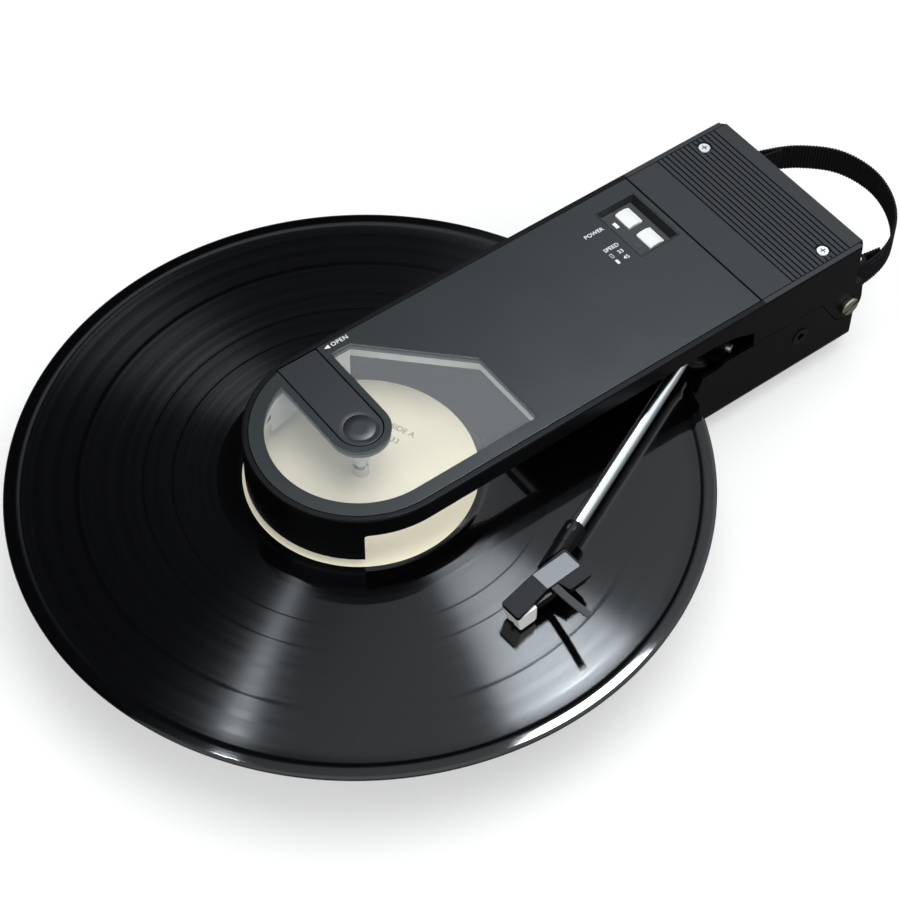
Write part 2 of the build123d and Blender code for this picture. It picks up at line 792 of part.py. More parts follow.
def lid_shell():
    """Lid moulding: rim, skirt, deck, arm cut-out, hinge cheeks and bosses."""
    low = skirt_gap
    shell = square_rear(plan_slab(casing_plan(0, lid_rear), low, lid_top - rim_drop))
    shell = fillet(shell.faces().sort_by(Axis.Z)[-1].edges(), 0.8)
    shell -= plan_slab(casing_plan(lid_wall, lid_rear - lid_wall), low - 1, deck_low)
    seat = casing_plan(rim_width, lid_rear + 10)
    shell -= plan_slab(seat, panel_z, lid_top + 1)
    cut_rear = pivot_x + arm_cut_rear
    arm_cut = Polyline((notch_x, low - 1), (notch_x, arm_edge_z), (pivot_x - arm_cut_flat, arm_edge_z + 0.5),
                       (pivot_x + arm_cut_bend, arm_cut_bend_z), (cut_rear, arm_cut_rear_z),
                       (cut_rear + arm_cut_foot, lid_side_z), (cut_rear + arm_cut_foot, low - 1), close=True)
    arm_face = fillet(make_face(arm_cut).vertices().sort_by(Axis.X)[1:2], 1.5)
    shell -= side_plate(arm_face, -side_past, -half_width * 0.75)
    step_end = arm_bay_step + arm_bay_step_length
    edge = Polyline((arm_bay_step - 3, low - 1), (arm_bay_step, low), (step_end, lid_side_z),
                    (lid_rear + 5, lid_side_z), (lid_rear + 5, low - 1), close=True)
    shell -= side_plate(make_face(edge), -side_past, side_past)
    for side in (-1, 1):
        span = sorted((side * (half_width - cheek_thick), side * half_width))
        shell += side_plate(cheek_plan(0), *span)
        notch = sorted((side * lid_notch_y, side * (half_width - cheek_thick)))
        shell -= slab(lid_rear - lid_wall - 0.5, lid_rear + 1, notch[0], notch[1], -20, lid_notch_z)
        shell -= rod_y(hinge_x, hinge_z, span[0] - 1, span[1] + 1, hinge_shaft + running_gap)
        boss = rod(trim_screw_x, side * trim_screw_y, deck_low - screw_boss_drop, deck_low + 0.1, screw_boss)
        shell += boss
        low = deck_low - screw_boss_drop - 1
        shell -= rod(trim_screw_x, side * trim_screw_y, low, lid_top, trim_screw_shaft)
    shell -= plan_slab(window_plan(0.3, True), deck_low - 1, panel_z + 1)
    cradle = plan_slab(strip_plan(slot_half + cradle_wall, strip_end), cradle_low, deck_low + 0.1)
    shell += cradle
    shell -= plan_slab(strip_plan(slot_half, strip_end + strip_gap), cradle_low + cradle_floor, lid_top)
    shell -= rod(0, 0, cradle_low - 1, lid_top, clamp_hole)
    shell -= rod_x(lever_axis_y, lever_axis_z, -slot_half - 1.2, slot_half + 1.2, lever_pin_radius)
    x0, x1, y0, y1 = recess
    shell -= slab(x0 + 0.4, x1 - 0.4, y0 + 0.4, y1 - 0.4, deck_low - 1, lid_top)
    for x in (x0 - 1.5, x1 + 1.5):
        for y in (y0 + 4, y1 - 4):
            shell += rod(x, y, board_z + board_thick, deck_low + 0.1, 1.8)
    return shell


def top_panel():
    """Glossy plate with the rebated window, the lever slot and the switch opening."""
    panel = plan_slab(casing_plan(rim_width + panel_gap, panel_rear), panel_z, lid_top)
    panel -= plan_slab(window_plan(window_bevel, True), panel_z - 1, lid_top - window_lip)
    panel -= plan_slab(window_plan(0, True), panel_z - 1, lid_top + 1)
    panel -= plan_slab(strip_plan(slot_half, half_width), panel_z - 1, lid_top + 1)
    x0, x1, y0, y1 = recess
    return panel - slab(x0, x1, y0, y1, panel_z - 1, lid_top + 1)


def window_pane():
    """Clear pane: a plug in the window and a wider foot under the panel's lip."""
    plug = plan_slab(window_plan(-window_gap, True), panel_z, lid_top)
    foot = plan_slab(window_plan(window_bevel - window_gap, True), panel_z, lid_top - window_lip - window_gap)
    return plug + foot


def window_well():
    """Light wall round the window's opening, drawn down behind it on the far side."""
    outer = window_plan(well_gap + well_wall, False)
    inner = window_plan(well_gap, False)
    wall = plan_slab(outer, well_low, deck_low) - plan_slab(inner, well_low - 1, deck_low + 1)
    back = plan_slab(outer, well_back_low, deck_low) - plan_slab(inner, well_back_low - 1, deck_low + 1)
    back &= slab(-half_width, window_far_x, well_back_y, half_width, well_back_low, deck_low)
    cradle = strip_plan(slot_half + cradle_wall + fit_gap, half_width)
    return wall + back - plan_slab(cradle, cradle_low - fit_gap, deck_low + 1)


def rear_trim():
    """Ribbed rear plate with counterbores for its two screws."""
    edge = half_width - rim_width - panel_gap
    trim = slab(trim_front, lid_rear - 0.2, -edge, edge, panel_z, lid_top)
    trim = fillet(trim.faces().sort_by(Axis.Z)[-1].edges(), 0.3)
    pitch = (groove_last - groove_first) / (groove_count - 1)
    for k in range(groove_count):
        x = groove_first + k * pitch
        trim -= slab(x - groove_width / 2, x + groove_width / 2, -edge - 1, edge + 1,
                     lid_top - groove_depth, lid_top + 1)
    for side in (-1, 1):
        trim -= rod(trim_screw_x, side * trim_screw_y, lid_top - counterbore_depth, lid_top + 1, counterbore)
        trim -= rod(trim_screw_x, side * trim_screw_y, panel_z - 1, lid_top, trim_screw_shaft + fit_gap)
    return trim


def trim_screws():
    """Two bright screws in the rear trim."""
    screws = []
    for side in (-1, 1):
        x, y, seat = trim_screw_x, side * trim_screw_y, lid_top - counterbore_depth
        head = rod(x, y, seat, lid_top - 0.1, trim_screw_head)
        head = chamfer(head.faces().sort_by(Axis.Z)[-1].edges(), 0.3)
        screws.append(head + rod(x, y, deck_low - 5, seat + 0.1, trim_screw_shaft))
    return Compound(children=screws)


def switch_bezel():
    """Sunken tray round the buttons, with sloped walls and a floor."""
    x0, x1, y0, y1 = recess
    g = 0.1
    outer = slab(x0 + g, x1 - g, y0 + g, y1 - g, panel_z, lid_top)
    outer += slab(x0 + 0.5, x1 - 0.5, y0 + 0.5, y1 - 0.5, recess_floor - recess_plate, panel_z + 0.1)
    a = 0.7
    mouth = Polyline((x0 + a, y0 + a), (x1 - a, y0 + a), (x1 - a, y1 - a), (x0 + a, y1 - a), close=True)
    top = Pos(0, 0, lid_top + 0.01) * make_face(mouth)
    s, r = a + recess_slope, a + recess_slope_rear
    bed = Polyline((x0 + s, y0 + s), (x1 - r, y0 + s), (x1 - r, y1 - s), (x0 + s, y1 - s), close=True)
    floor = Pos(0, 0, recess_floor) * make_face(bed)
    tray = outer - loft([floor, top])
    for y in (power_y, speed_y):
        half_x, half_y = button_length / 2 + button_gap, button_width / 2 + button_gap
        tray -= slab(button_x - half_x, button_x + half_x, y - half_y, y + half_y,
                     recess_floor - 4, recess_floor + 1)
        tray -= slab(light_x - light_width / 2, light_x + light_width / 2, y - light_length / 2,
                     y + light_length / 2, recess_floor - 4, recess_floor + 1)
    return tray


def button(y):
    """Crowned push button with a flange under the bezel floor and a stem to its switch."""
    half_x, half_y = button_length / 2, button_width / 2
    rise = button_top - recess_floor
    low = recess_floor - recess_plate - button_flange - 0.1
    side = make_face(Polyline((-half_x, low), (half_x, low), (half_x, button_top - button_crown),
                              (half_x * 0.35, button_top), (-half_x * 0.35, button_top),
                              (-half_x, button_top - button_crown), close=True))
    cap = Pos(button_x, 0, 0) * side_plate(side, y - half_y, y + half_y)
    cap = fillet(cap.edges().filter_by(Axis.Z), min(0.8, rise / 2))
    flange = slab(button_x - half_x - 1, button_x + half_x + 1, y - half_y - 1, y + half_y + 1,
                  low, low + button_flange)
    return cap + flange + rod(button_x, y, button_stem, low + 0.2, 1.5)


def indicator_light(y, top):
    """Small light pipe in the bezel floor."""
    return slab(light_x - light_width / 2, light_x + light_width / 2, y - light_length / 2,
                y + light_length / 2, recess_floor - recess_plate - 0.6, top)


def switch_board():
    """Board under the buttons with two small switches."""
    x0, x1, y0, y1 = recess
    top = board_z + board_thick
    parts = [slab(x0 - 4, x1 + 4, y0 - 2, y1 + 2, board_z, top)]
    for y in (power_y, speed_y):
        parts.append(slab(button_x - 2.5, button_x + 2.5, y - 2.5, y + 2.5, top,
                          button_stem - button_travel - 0.1))
    return Compound(children=parts)


def clamp_lever():
    """Flush lever across the window with a finger dish over the spindle and a post below it."""
    lever = plan_slab(strip_plan(strip_half, strip_end), strip_low, strip_top)
    lever = fillet(lever.faces().sort_by(Axis.Z)[-1].edges(), 0.35)
    ball = (dish_radius ** 2 + dish_depth ** 2) / (2 * dish_depth)
    lever -= Pos(0, 0, strip_top + ball - dish_depth) * Sphere(ball)
    lever += slab(-slot_half + 1.2, slot_half - 1.2, lever_axis_y - lug_half, lever_axis_y + lug_half,
                  lever_axis_z - lever_pin_radius - 0.4, strip_low + 0.1)
    lever -= rod_x(lever_axis_y, lever_axis_z, -slot_half, slot_half, lever_pin_radius + running_gap)
    return lever + rod(0, 0, clamp_waist + 1.5, strip_low + 0.1, clamp_post)


def lever_pin():
    """Steel pin that the clamp lever rocks on."""
    return rod_x(lever_axis_y, lever_axis_z, -slot_half - 1.2, slot_half + 1.2, lever_pin_radius)


def clamp_cone():
    """Free turning cone that centres on the spindle's tip."""
    seat = clamp_bottom
    body = turned([(0, seat), (clamp_tip, seat), (clamp_radius, clamp_waist), (clamp_radius, clamp_top),
                   (0, clamp_top)])
    body -= rod(0, 0, clamp_waist + 1, clamp_top + 1, clamp_post + running_gap)
    cup = spindle_neck + fit_gap * 1.5 + (clamp_bottom - spindle_neck_top) * -1
    depth = cup - 0.4
    return body - turned([(0, seat - 1), (cup, seat - 1), (cup, seat), (cup - depth, seat + depth),
                          (0, seat + depth)])


def lever_spring():
    """Leaf spring under the lever's outer end."""
    low = cradle_low + cradle_floor
    leaf = slab(-3, 3, lever_axis_y + 5, strip_end - 8, low, low + 0.3)
    return leaf


def arm_pedestal():
    """Turned bearing housing on the arm bay's deck."""
    low = deck_under - 4
    housing = turned([(arm_bush_radius, low), (pedestal_hub, low), (pedestal_hub, deck_z),
                      (pedestal_flange, deck_z), (pedestal_flange, deck_z + 1.4),
                      (pedestal_hub + 0.6, deck_z + 2.4), (pedestal_hub - 0.4, pedestal_top),
                      (arm_bush_radius, pedestal_top)])
    return housing.moved(Pos(pivot))


def arm_bush():
    """Bronze bush in the pedestal."""
    low, high, bore = deck_under - 8, pedestal_top, arm_shaft + running_gap
    bush = rod(0, 0, low, high, arm_bush_radius) - rod(0, 0, low - 1, high + 1, bore)
    return bush.moved(Pos(pivot))


def arm_yoke():
    """Forked cradle that swings on the pedestal, with two upright ears."""
    plate = slab(-yoke_half, yoke_half, -ear_outer, ear_outer, yoke_low, yoke_low + yoke_plate)
    plate = fillet(plate.edges().filter_by(Axis.Z), 3)
    half, neck = yoke_half - 2, yoke_half - 3.5
    ears = make_face(Polyline((-half, yoke_low), (half, yoke_low), (half, ear_top - 2), (neck, ear_top),
                              (-neck, ear_top), (-half, ear_top - 2), close=True))
    yoke = plate
    for side in (-1, 1):
        yoke += side_plate(ears, *sorted((side * ear_inner, side * ear_outer)))
    yoke -= rod_y(0, arm_z, -ear_outer - 1, ear_outer + 1, pin_radius)
    yoke += rod(0, 0, yoke_low - arm_shaft_drop, yoke_low + 0.5, arm_shaft)
    return yoke.moved(arm_frame)


def pivot_screws():
    """Two bright pivot screws in the yoke's ears."""
    pins = []
    for side in (-1, 1):
        shaft = rod_y(0, arm_z, *sorted((side * (bar_half - 1.8), side * (ear_outer + 0.5))), pin_radius)
        head = rod_y(0, arm_z, *sorted((side * ear_outer, side * pin_reach)), pin_head)
        pins.append((shaft + head).moved(arm_frame))
    return Compound(children=pins)


def arm_carrier():
    """Block that grips the tube and turns between the pivot screws."""
    block = slab(-7.5, 9, -5.2, 5.2, arm_z - 4.6, arm_z + 4.6)
    block = fillet(block.edges().filter_by(Axis.X), 1.6)
    block += rod_y(0, arm_z, -bar_half, bar_half, bar_radius)
    block -= rod_y(0, arm_z, -bar_half - 1, -bar_half + 2, pin_radius + running_gap)
    block -= rod_y(0, arm_z, bar_half - 2, bar_half + 1, pin_radius + running_gap)
    return (block - rod_x(0, arm_z, -10, 10, tube_radius)).moved(arm_frame)


def arm_tube():
    """Bright straight tube."""
    tube = rod_x(0, arm_z, -tube_tail, tube_length, tube_radius)
    tube -= rod_x(0, arm_z, -tube_tail - 1, tube_length + 1, tube_bore)
    return tube.moved(arm_frame)


def counterweight():
    """Turned weight on the tube's tail."""
    weight = rod_x(0, arm_z, -weight_front - weight_length, -weight_front, weight_radius)
    weight = chamfer(weight.edges().filter_by(GeomType.CIRCLE), 0.6)
    return weight.moved(arm_frame)


def neck_shape(grow):
    """Round neck from the collar that runs on under the headshell's plate."""
    start = collar_start + collar_length
    neck = rod_x(0, arm_z, start - 1, start + neck_length + grow, neck_radius + grow).moved(arm_frame)
    gap = running_gap - grow
    high = head_top + neck_radius
    under = slab(nose_front, block_rear + gap, block_right, block_left + gap, head_low - gap, high)
    return neck - under.moved(head_frame)


def arm_collar():
    """Round collar on the tube's end with a neck that carries the headshell."""
    collar = rod_x(0, arm_z, collar_start, collar_start + collar_length, collar_radius)
    collar = chamfer(collar.edges().filter_by(GeomType.CIRCLE), 0.4)
    collar = collar.moved(arm_frame)
    bore = rod_x(0, arm_z, collar_start - 1, tube_length, tube_radius).moved(arm_frame)
    return collar + neck_shape(0) - bore - set_screw_shape(set_screw_radius)


def set_screw_shape(radius):
    """Space of the small grub screw in the collar's top."""
    x = collar_start + set_screw_place
    return rod(x, 0, arm_z + tube_radius, arm_z + collar_radius - 0.1, radius).moved(arm_frame)


def collar_screw():
    """Grub screw with a hexagon socket."""
    screw = set_screw_shape(set_screw_radius)
    x = collar_start + set_screw_place
    socket = Pos(x, 0, arm_z + collar_radius - 1.1) * extrude(RegularPolygon(0.8, 6), 2)
    return screw - socket.moved(arm_frame)


def headshell():
    """Headshell: a flat plate with one wing and a flared nose, and a block under its rear."""
    root_x = block_front - wing_root
    outline = Polyline((block_rear, block_right), (block_rear, block_left),
                       (patch_front, patch_left + patch_border), (nose_front, nose_left),
                       (nose_front, nose_right), (patch_front, patch_right),
                       (root_x, patch_right - wing_shift), (block_front, block_right), close=True)
    plate = plan_slab(make_face(outline), head_low, head_top - patch_thick)
    corners = plate.edges().filter_by(Axis.Z).sort_by(Axis.X)
    plate = fillet(corners[0:2] + corners[-2:], head_round)
    inset = block_inset
    block = slab(block_front + inset, block_rear - inset, block_right + inset, block_left - inset,
                 block_low, head_low + 0.1)
    block = fillet(block.edges().filter_by(Axis.Z), head_round)
    shell = plate + (block.moved(head_frame) - neck_shape(running_gap)).moved(head_frame.inverse())
    return shell.moved(head_frame)


def headshell_plate():
    """Light inlay on the headshell."""
    plate = slab(patch_front + 0.1, patch_rear, patch_right, patch_left, head_top - patch_thick, head_top)
    plate = fillet(plate.edges().filter_by(Axis.Z).sort_by(Axis.X)[-2:], 0.8)
    return plate.moved(head_frame)


def finger_lift():
    """Thin lift that curls up beside the headshell."""
    root_z = head_low + head_plate / 2
    tip_z = lift_tip_z - lift_thick / 2
    middle_z = (root_z + tip_z) / 2 - lift_sag
    curve = ThreePointArc((1, root_z), (-lift_length / 2, middle_z), (-lift_length, tip_z))
    blade = extrude(Plane.YZ * trace(curve, lift_thick), lift_width)
    blade = Pos(lift_x, patch_right, 0) * Rot(0, 0, lift_turn) * Pos(-lift_width / 2, 0, 0) * blade
    blade = blade.moved(head_frame) - headshell()
    return blade.solids().sort_by(SortBy.VOLUME)[-1]


def cartridge():
    """Cartridge body behind the stylus holder, under the headshell's plate."""
    inset = cartridge_inset
    body = slab(holder_rear, cartridge_rear, holder_right + inset, holder_left - inset,
                cartridge_low, head_low)
    lower = slab(holder_rear, cartridge_rear - 5, holder_right + 2.5, holder_left - 2.5,
                 cartridge_low - 2, cartridge_low + 0.1)
    body = chamfer(body.faces().sort_by(Axis.Z)[0].edges(), 0.5)
    return (body + lower).moved(head_frame)


def stylus_holder():
    """Pale holder at the cartridge's front, with a channel for the cantilever."""
    front, rear, low, corner = holder_front, holder_rear, holder_low, holder_corner
    side = make_face(Polyline((front - holder_lean, head_low), (front, low + corner), (front + 0.6, low),
                              (rear - corner, low), (rear, low + corner), (rear, head_low), close=True))
    holder = side_plate(side, holder_right, holder_left)
    channel = slab(front - 3, channel_rear, stylus_y - channel_half, stylus_y + channel_half, 0, channel_top)
    return (holder - channel).moved(head_frame)


def stylus_tip():
    """Cantilever in the holder's channel, with the tip that rides on the disc."""
    rise = channel_top - needle_top - cantilever_radius
    tilt = degrees(atan2(rise, channel_rear))
    reach = sqrt(rise ** 2 + channel_rear ** 2)
    arm = rod_x(0, 0, 0, reach, cantilever_radius).moved(Pos(0, 0, needle_top) * Rot(0, -tilt, 0))
    arm -= slab(channel_rear, channel_rear + 2, -2, 2, -1, 5)
    tip = turned([(0, stylus_z), (0.3, needle_top), (0.3, needle_top + 0.3), (0, needle_top + 0.3)])
    return (arm + tip).moved(head_frame * Pos(0, stylus_y, 0))


nodes = {
    "base_lower_shell": base_lower_shell(),
    "base_upper_shell": base_upper_shell(),
    "rubber_feet": rubber_feet(),
    "case_screws": case_screws(),
    "platter_bush": platter_bush(),
    "drive_motor": drive_motor(),
    "motor_bracket": motor_bracket(),
    "bracket_screws": bracket_screws(),
    "motor_pulley": motor_pulley(),
    "drive_belt": drive_belt(),
    "battery_pack": battery_pack(),
    "main_circuit": main_circuit(),
    "line_jack": line_jack(),
    "charge_socket": charge_socket(),
    "hinge_screws": hinge_screws(),
    "strap_pins": strap_pins(),
    "hand_strap": hand_strap(),
    "platter": platter(),
    "platter_mat": platter_mat(),
    "spindle": spindle(),
    "record_disc": record_disc(),
    "record_label": record_label(),
    "lid_shell": lid_shell(),
    "top_panel": top_panel(),
    "window_pane": window_pane(),
    "window_well": window_well(),
    "rear_trim": rear_trim(),
    "trim_screws": trim_screws(),
    "switch_bezel": switch_bezel(),
    "power_button": button(power_y),
    "speed_button": button(speed_y),
    "power_light": indicator_light(power_y, recess_floor + 0.2),
    "speed_light": indicator_light(speed_y, recess_floor + 0.1),
    "switch_board": switch_board(),
    "clamp_lever": clamp_lever(),
    "lever_pin": lever_pin(),
    "lever_spring": lever_spring(),
    "clamp_cone": clamp_cone(),
    "arm_pedestal": arm_pedestal(),
    "arm_bush": arm_bush(),
    "arm_yoke": arm_yoke(),
    "pivot_screws": pivot_screws(),
    "arm_carrier": arm_carrier(),
    "arm_tube": arm_tube(),
    "counterweight": counterweight(),
    "arm_collar": arm_collar(),
    "collar_screw": collar_screw(),
    "headshell": headshell(),
    "headshell_plate": headshell_plate(),
    "finger_lift": finger_lift(),
    "cartridge": cartridge(),
    "stylus_holder": stylus_holder(),
    "stylus_tip": stylus_tip(),
}

# The origin lies under the middle of the whole, on the surface it stands on
spindle_x = (disc_radius - nodes["hand_strap"].bounding_box().max.X) / 2
spindle_z = foot_height - base_bottom
for name, shape in nodes.items():
    export_step(Pos(spindle_x, 0, spindle_z) * shape, f"parts/{name}.step")
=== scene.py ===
"""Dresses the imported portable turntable: lid, casing, disc, tonearm and strap.

Sizes in the functions are millimetres from the spindle's axis and the disc's top face.
"""

import math

import bmesh
import bpy
from mathutils import Matrix, Vector


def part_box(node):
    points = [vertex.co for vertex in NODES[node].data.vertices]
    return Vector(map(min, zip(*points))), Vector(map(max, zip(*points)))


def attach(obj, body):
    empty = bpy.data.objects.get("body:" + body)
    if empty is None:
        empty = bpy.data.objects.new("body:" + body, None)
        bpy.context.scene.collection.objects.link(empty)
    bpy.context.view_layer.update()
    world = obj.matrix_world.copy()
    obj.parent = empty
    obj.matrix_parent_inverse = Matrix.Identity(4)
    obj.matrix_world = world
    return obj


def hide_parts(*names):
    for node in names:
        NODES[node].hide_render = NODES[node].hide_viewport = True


bl_info = {
    "name": "Portable turntable",
    "version": (1, 0, 0),
    "blender": (4, 5, 0),
    "location": "View3D > Sidebar > Turntable",
    "description": "Finishes a portable turntable with its disc, lid, tonearm and strap",
    "category": "Object",
}

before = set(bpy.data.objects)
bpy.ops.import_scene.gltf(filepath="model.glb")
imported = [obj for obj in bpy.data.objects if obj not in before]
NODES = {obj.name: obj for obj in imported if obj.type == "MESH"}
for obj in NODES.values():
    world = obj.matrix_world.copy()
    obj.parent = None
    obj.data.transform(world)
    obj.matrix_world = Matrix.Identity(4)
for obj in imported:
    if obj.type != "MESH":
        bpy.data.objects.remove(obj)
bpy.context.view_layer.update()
MM = 0.001
SPINDLE = (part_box("spindle")[0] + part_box("spindle")[1]) / 2
DISC_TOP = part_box("record_disc")[1].z


def at(x, y, z):
    """A place in the row's frame, from millimetres about the spindle and the disc's top."""
    return Vector((SPINDLE.x + x * MM, SPINDLE.y + y * MM, DISC_TOP + z * MM))


# Small helpers


def linear(code):
    """An sRGB hex colour as Blender's linear colour."""
    channels = [int(code[i : i + 2], 16) / 255 for i in (1, 3, 5)]
    bright = [c / 12.92 if c <= 0.04045 else ((c + 0.055) / 1.055) ** 2.4 for c in channels]
    return (*bright, 1.0)


def add(tree, kind, settings=None, inputs=None):
    """One node with its settings, values and links. A node given as a value links its first output."""
    item = tree.nodes.new(kind)
    for key, value in (settings or {}).items():
        setattr(item, key, value)
    for key, value in (inputs or {}).items():
        if isinstance(value, bpy.types.Node):
            value = value.outputs[0]
        if isinstance(value, bpy.types.NodeSocket):
            tree.links.new(value, item.inputs[key])
        else:
            item.inputs[key].default_value = value
    return item


def blank(name):
    """An empty node material and its tree."""
    finish = bpy.data.materials.new(name)
    finish.use_nodes = True
    finish.node_tree.nodes.clear()
    return finish, finish.node_tree


def close(tree, shader):
    """The material's output."""
    add(tree, "ShaderNodeOutputMaterial", inputs={"Surface": shader})


def wearing(piece, *finishes):
    """Puts finishes on an object's slots."""
    piece.data.materials.clear()
    for finish in finishes:
        piece.data.materials.append(finish)


def settle(piece, body, slot, *nodes):
    """The piece rides on its body and stands for its CAD nodes, which it hides; the slot is not used."""
    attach(piece, body)
    if nodes:
        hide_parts(*nodes)
    return piece


def kept(name, shell):
    """The finished faces as a mesh."""
    mesh = bpy.data.meshes.new(name)
    shell.to_mesh(mesh)
    shell.free()
    return mesh


def place(name, data, finish=None):
    """A new object at the origin that holds a mesh, a curve, a lamp or a camera."""
    piece = bpy.data.objects.new(name, data)
    bpy.context.scene.collection.objects.link(piece)
    if finish:
        wearing(piece, finish)
    return piece


def fixed(piece):
    """Turns an object's modifiers into a plain mesh."""
    bpy.context.view_layer.update()
    graph = bpy.context.evaluated_depsgraph_get()
    mesh = bpy.data.meshes.new_from_object(piece.evaluated_get(graph))
    finishes = list(piece.data.materials)
    piece.modifiers.clear()
    old = piece.data
    if piece.type == "MESH":
        piece.data = mesh
        result = piece
    else:
        result = place(piece.name + "_mesh", mesh)
        name = piece.name
        bpy.data.objects.remove(piece)
        result.name = name
    if not mesh.materials:
        for finish in finishes:
            mesh.materials.append(finish)
    if old.users == 0 and isinstance(old, bpy.types.Mesh):
        bpy.data.meshes.remove(old)
    return result


def smooth(piece, angle=30.0):
    """Smooth faces that stay sharp over the given angle."""
    piece.data.shade_smooth()
    piece.data.set_sharp_from_angle(angle=math.radians(angle))


def rounded(piece, width, steps):
    """Rounds the sharp edges by a width in millimetres."""
    bevel = piece.modifiers.new("edges", "BEVEL")
    bevel.width = width * MM
    bevel.segments = steps
    bevel.limit_method = "ANGLE"
    bevel.angle_limit = math.radians(35.0)
    piece.data.shade_smooth()
    return fixed(piece)


def dressed(name, node, finish, width, steps=2):
    """A joined copy of a CAD node with rounded edges."""
    shell = bmesh.new()
    shell.from_mesh(NODES[node].data)
    bmesh.ops.remove_doubles(shell, verts=shell.verts, dist=2e-6)
    flat = math.radians(0.8)
    bmesh.ops.dissolve_limit(shell, angle_limit=flat, verts=shell.verts, edges=shell.edges, delimit={"NORMAL"})
    piece = place(name, kept(name, shell), finish)
    if width:
        piece = rounded(piece, width, steps)
    smooth(piece, 38.0)
    weigh = piece.modifiers.new("flat faces stay flat", "WEIGHTED_NORMAL")
    weigh.keep_sharp = True
    return fixed(piece)


def turned(name, profile, finish, steps):
    """A closed solid of revolution about the spindle from (radius, height) points in millimetres."""
    shell = bmesh.new()
    rings = []
    for radius, height in profile:
        if radius < 1e-6:
            rings.append([shell.verts.new((0, 0, height * MM))])
            continue
        ring = []
        for k in range(steps):
            turn, r = 2 * math.pi * k / steps, radius * MM
            ring.append(shell.verts.new((r * math.cos(turn), r * math.sin(turn), height * MM)))
        rings.append(ring)
    pairs = list(zip(rings, rings[1:]))
    if len(rings[0]) > 1 or len(rings[-1]) > 1:
        pairs.append((rings[-1], rings[0]))
    for low, high in pairs:
        for k in range(steps):
            j = (k + 1) % steps
            if len(low) == 1 and len(high) == 1:
                break
            if len(low) == 1:
                shell.faces.new((low[0], high[k], high[j]))
            elif len(high) == 1:
                shell.faces.new((low[k], low[j], high[0]))
            else:
                shell.faces.new((low[k], low[j], high[j], high[k]))
    bmesh.ops.recalc_face_normals(shell, faces=shell.faces)
    bmesh.ops.translate(shell, vec=at(0, 0, 0), verts=shell.verts)
    piece = place(name, kept(name, shell), finish)
    smooth(piece)
    return piece


PRINT_HALF = 0.01


def lettering(name, words, size, finish, centre, turn=0.0, weight=0.01, spread=1.0):
    """Raised print on a level face: words of a height in millimetres."""
    curve = bpy.data.curves.new(name, "FONT")
    curve.body = words
    curve.size = size * MM
    curve.align_x = "CENTER"
    curve.align_y = "CENTER"
    curve.extrude = PRINT_HALF * MM
    curve.offset = weight * MM
    curve.space_character = spread
    curve.resolution_u = 3
    piece = fixed(place(name, curve))
    piece.data.transform(Matrix.Translation(at(*centre)) @ Matrix.Rotation(math.radians(turn), 4, "Z"))
    wearing(piece, finish)
    return piece


def plate(name, outline, low, high, finish):
    """A flat plate from a plan outline in millimetres."""
    shell = bmesh.new()
    bottom = [shell.verts.new(at(x, y, low)) for x, y in outline]
    top = [shell.verts.new(at(x, y, high)) for x, y in outline]
    shell.faces.new(bottom[::-1])
    shell.faces.new(top)
    for k in range(len(outline)):
        j = (k + 1) % len(outline)
        shell.faces.new((bottom[k], bottom[j], top[j], top[k]))
    bmesh.ops.recalc_face_normals(shell, faces=shell.faces)
    return place(name, kept(name, shell), finish)


def joined(name, pieces):
    """Several plain meshes as one object."""
    shell = bmesh.new()
    finishes = []
    for piece in pieces:
        first = len(finishes)
        finishes += list(piece.data.materials)
        held = len(shell.faces)
        shell.from_mesh(piece.data)
        shell.faces.ensure_lookup_table()
        for face in shell.faces[held:]:
            face.material_index += first
        bpy.data.objects.remove(piece)
    result = place(name, kept(name, shell))
    wearing(result, *finishes)
    return result


# Trees for what repeats or follows a path


def grove(name, *labels):
    """An empty geometry tree with named number inputs, and what comes in through them."""
    tree = bpy.data.node_groups.new(name, "GeometryNodeTree")
    tree.interface.new_socket("Geometry", in_out="INPUT", socket_type="NodeSocketGeometry")
    for label in labels:
        tree.interface.new_socket(label, in_out="INPUT", socket_type="NodeSocketFloat")
    tree.interface.new_socket("Finish", in_out="INPUT", socket_type="NodeSocketMaterial")
    tree.interface.new_socket("Geometry", in_out="OUTPUT", socket_type="NodeSocketGeometry")
    return tree, add(tree, "NodeGroupInput").outputs


def finish_tree(tree, given, geometry):
    """Ends a tree in real faces that wear the given finish."""
    real = add(tree, "GeometryNodeRealizeInstances", inputs={"Geometry": geometry})
    worn = add(tree, "GeometryNodeSetMaterial", inputs={"Geometry": real, "Material": given["Finish"]})
    add(tree, "NodeGroupOutput", inputs={"Geometry": worn})
    return tree


def copies_tree(tree, given, spots, item, turn=None):
    """Ends a tree in copies of an item on points or along a line."""
    inputs = {"Points": spots, "Instance": item}
    if turn is not None:
        inputs["Rotation"] = turn
    return finish_tree(tree, given, add(tree, "GeometryNodeInstanceOnPoints", inputs=inputs))


def union(tree, *geometries):
    """Several geometries as one."""
    both = add(tree, "GeometryNodeJoinGeometry")
    for geometry in geometries:
        tree.links.new(geometry, both.inputs[0])
    return both.outputs[0]


def reckoned(tree, operation, *values):
    """The result of one sum."""
    return add(tree, "ShaderNodeMath", {"operation": operation}, dict(enumerate(values))).outputs[0]


def times(tree, first, second):
    """The product of two values."""
    return reckoned(tree, "MULTIPLY", first, second)


def vector(tree, x=0.0, y=0.0, z=0.0):
    """A vector from plain or linked values."""
    return add(tree, "ShaderNodeCombineXYZ", inputs={"X": x, "Y": y, "Z": z}).outputs[0]


def moved(tree, geometry, z):
    """A geometry raised by a plain or linked distance."""
    inputs = {"Geometry": geometry, "Translation": vector(tree, z=z)}
    return add(tree, "GeometryNodeTransform", inputs=inputs).outputs[0]


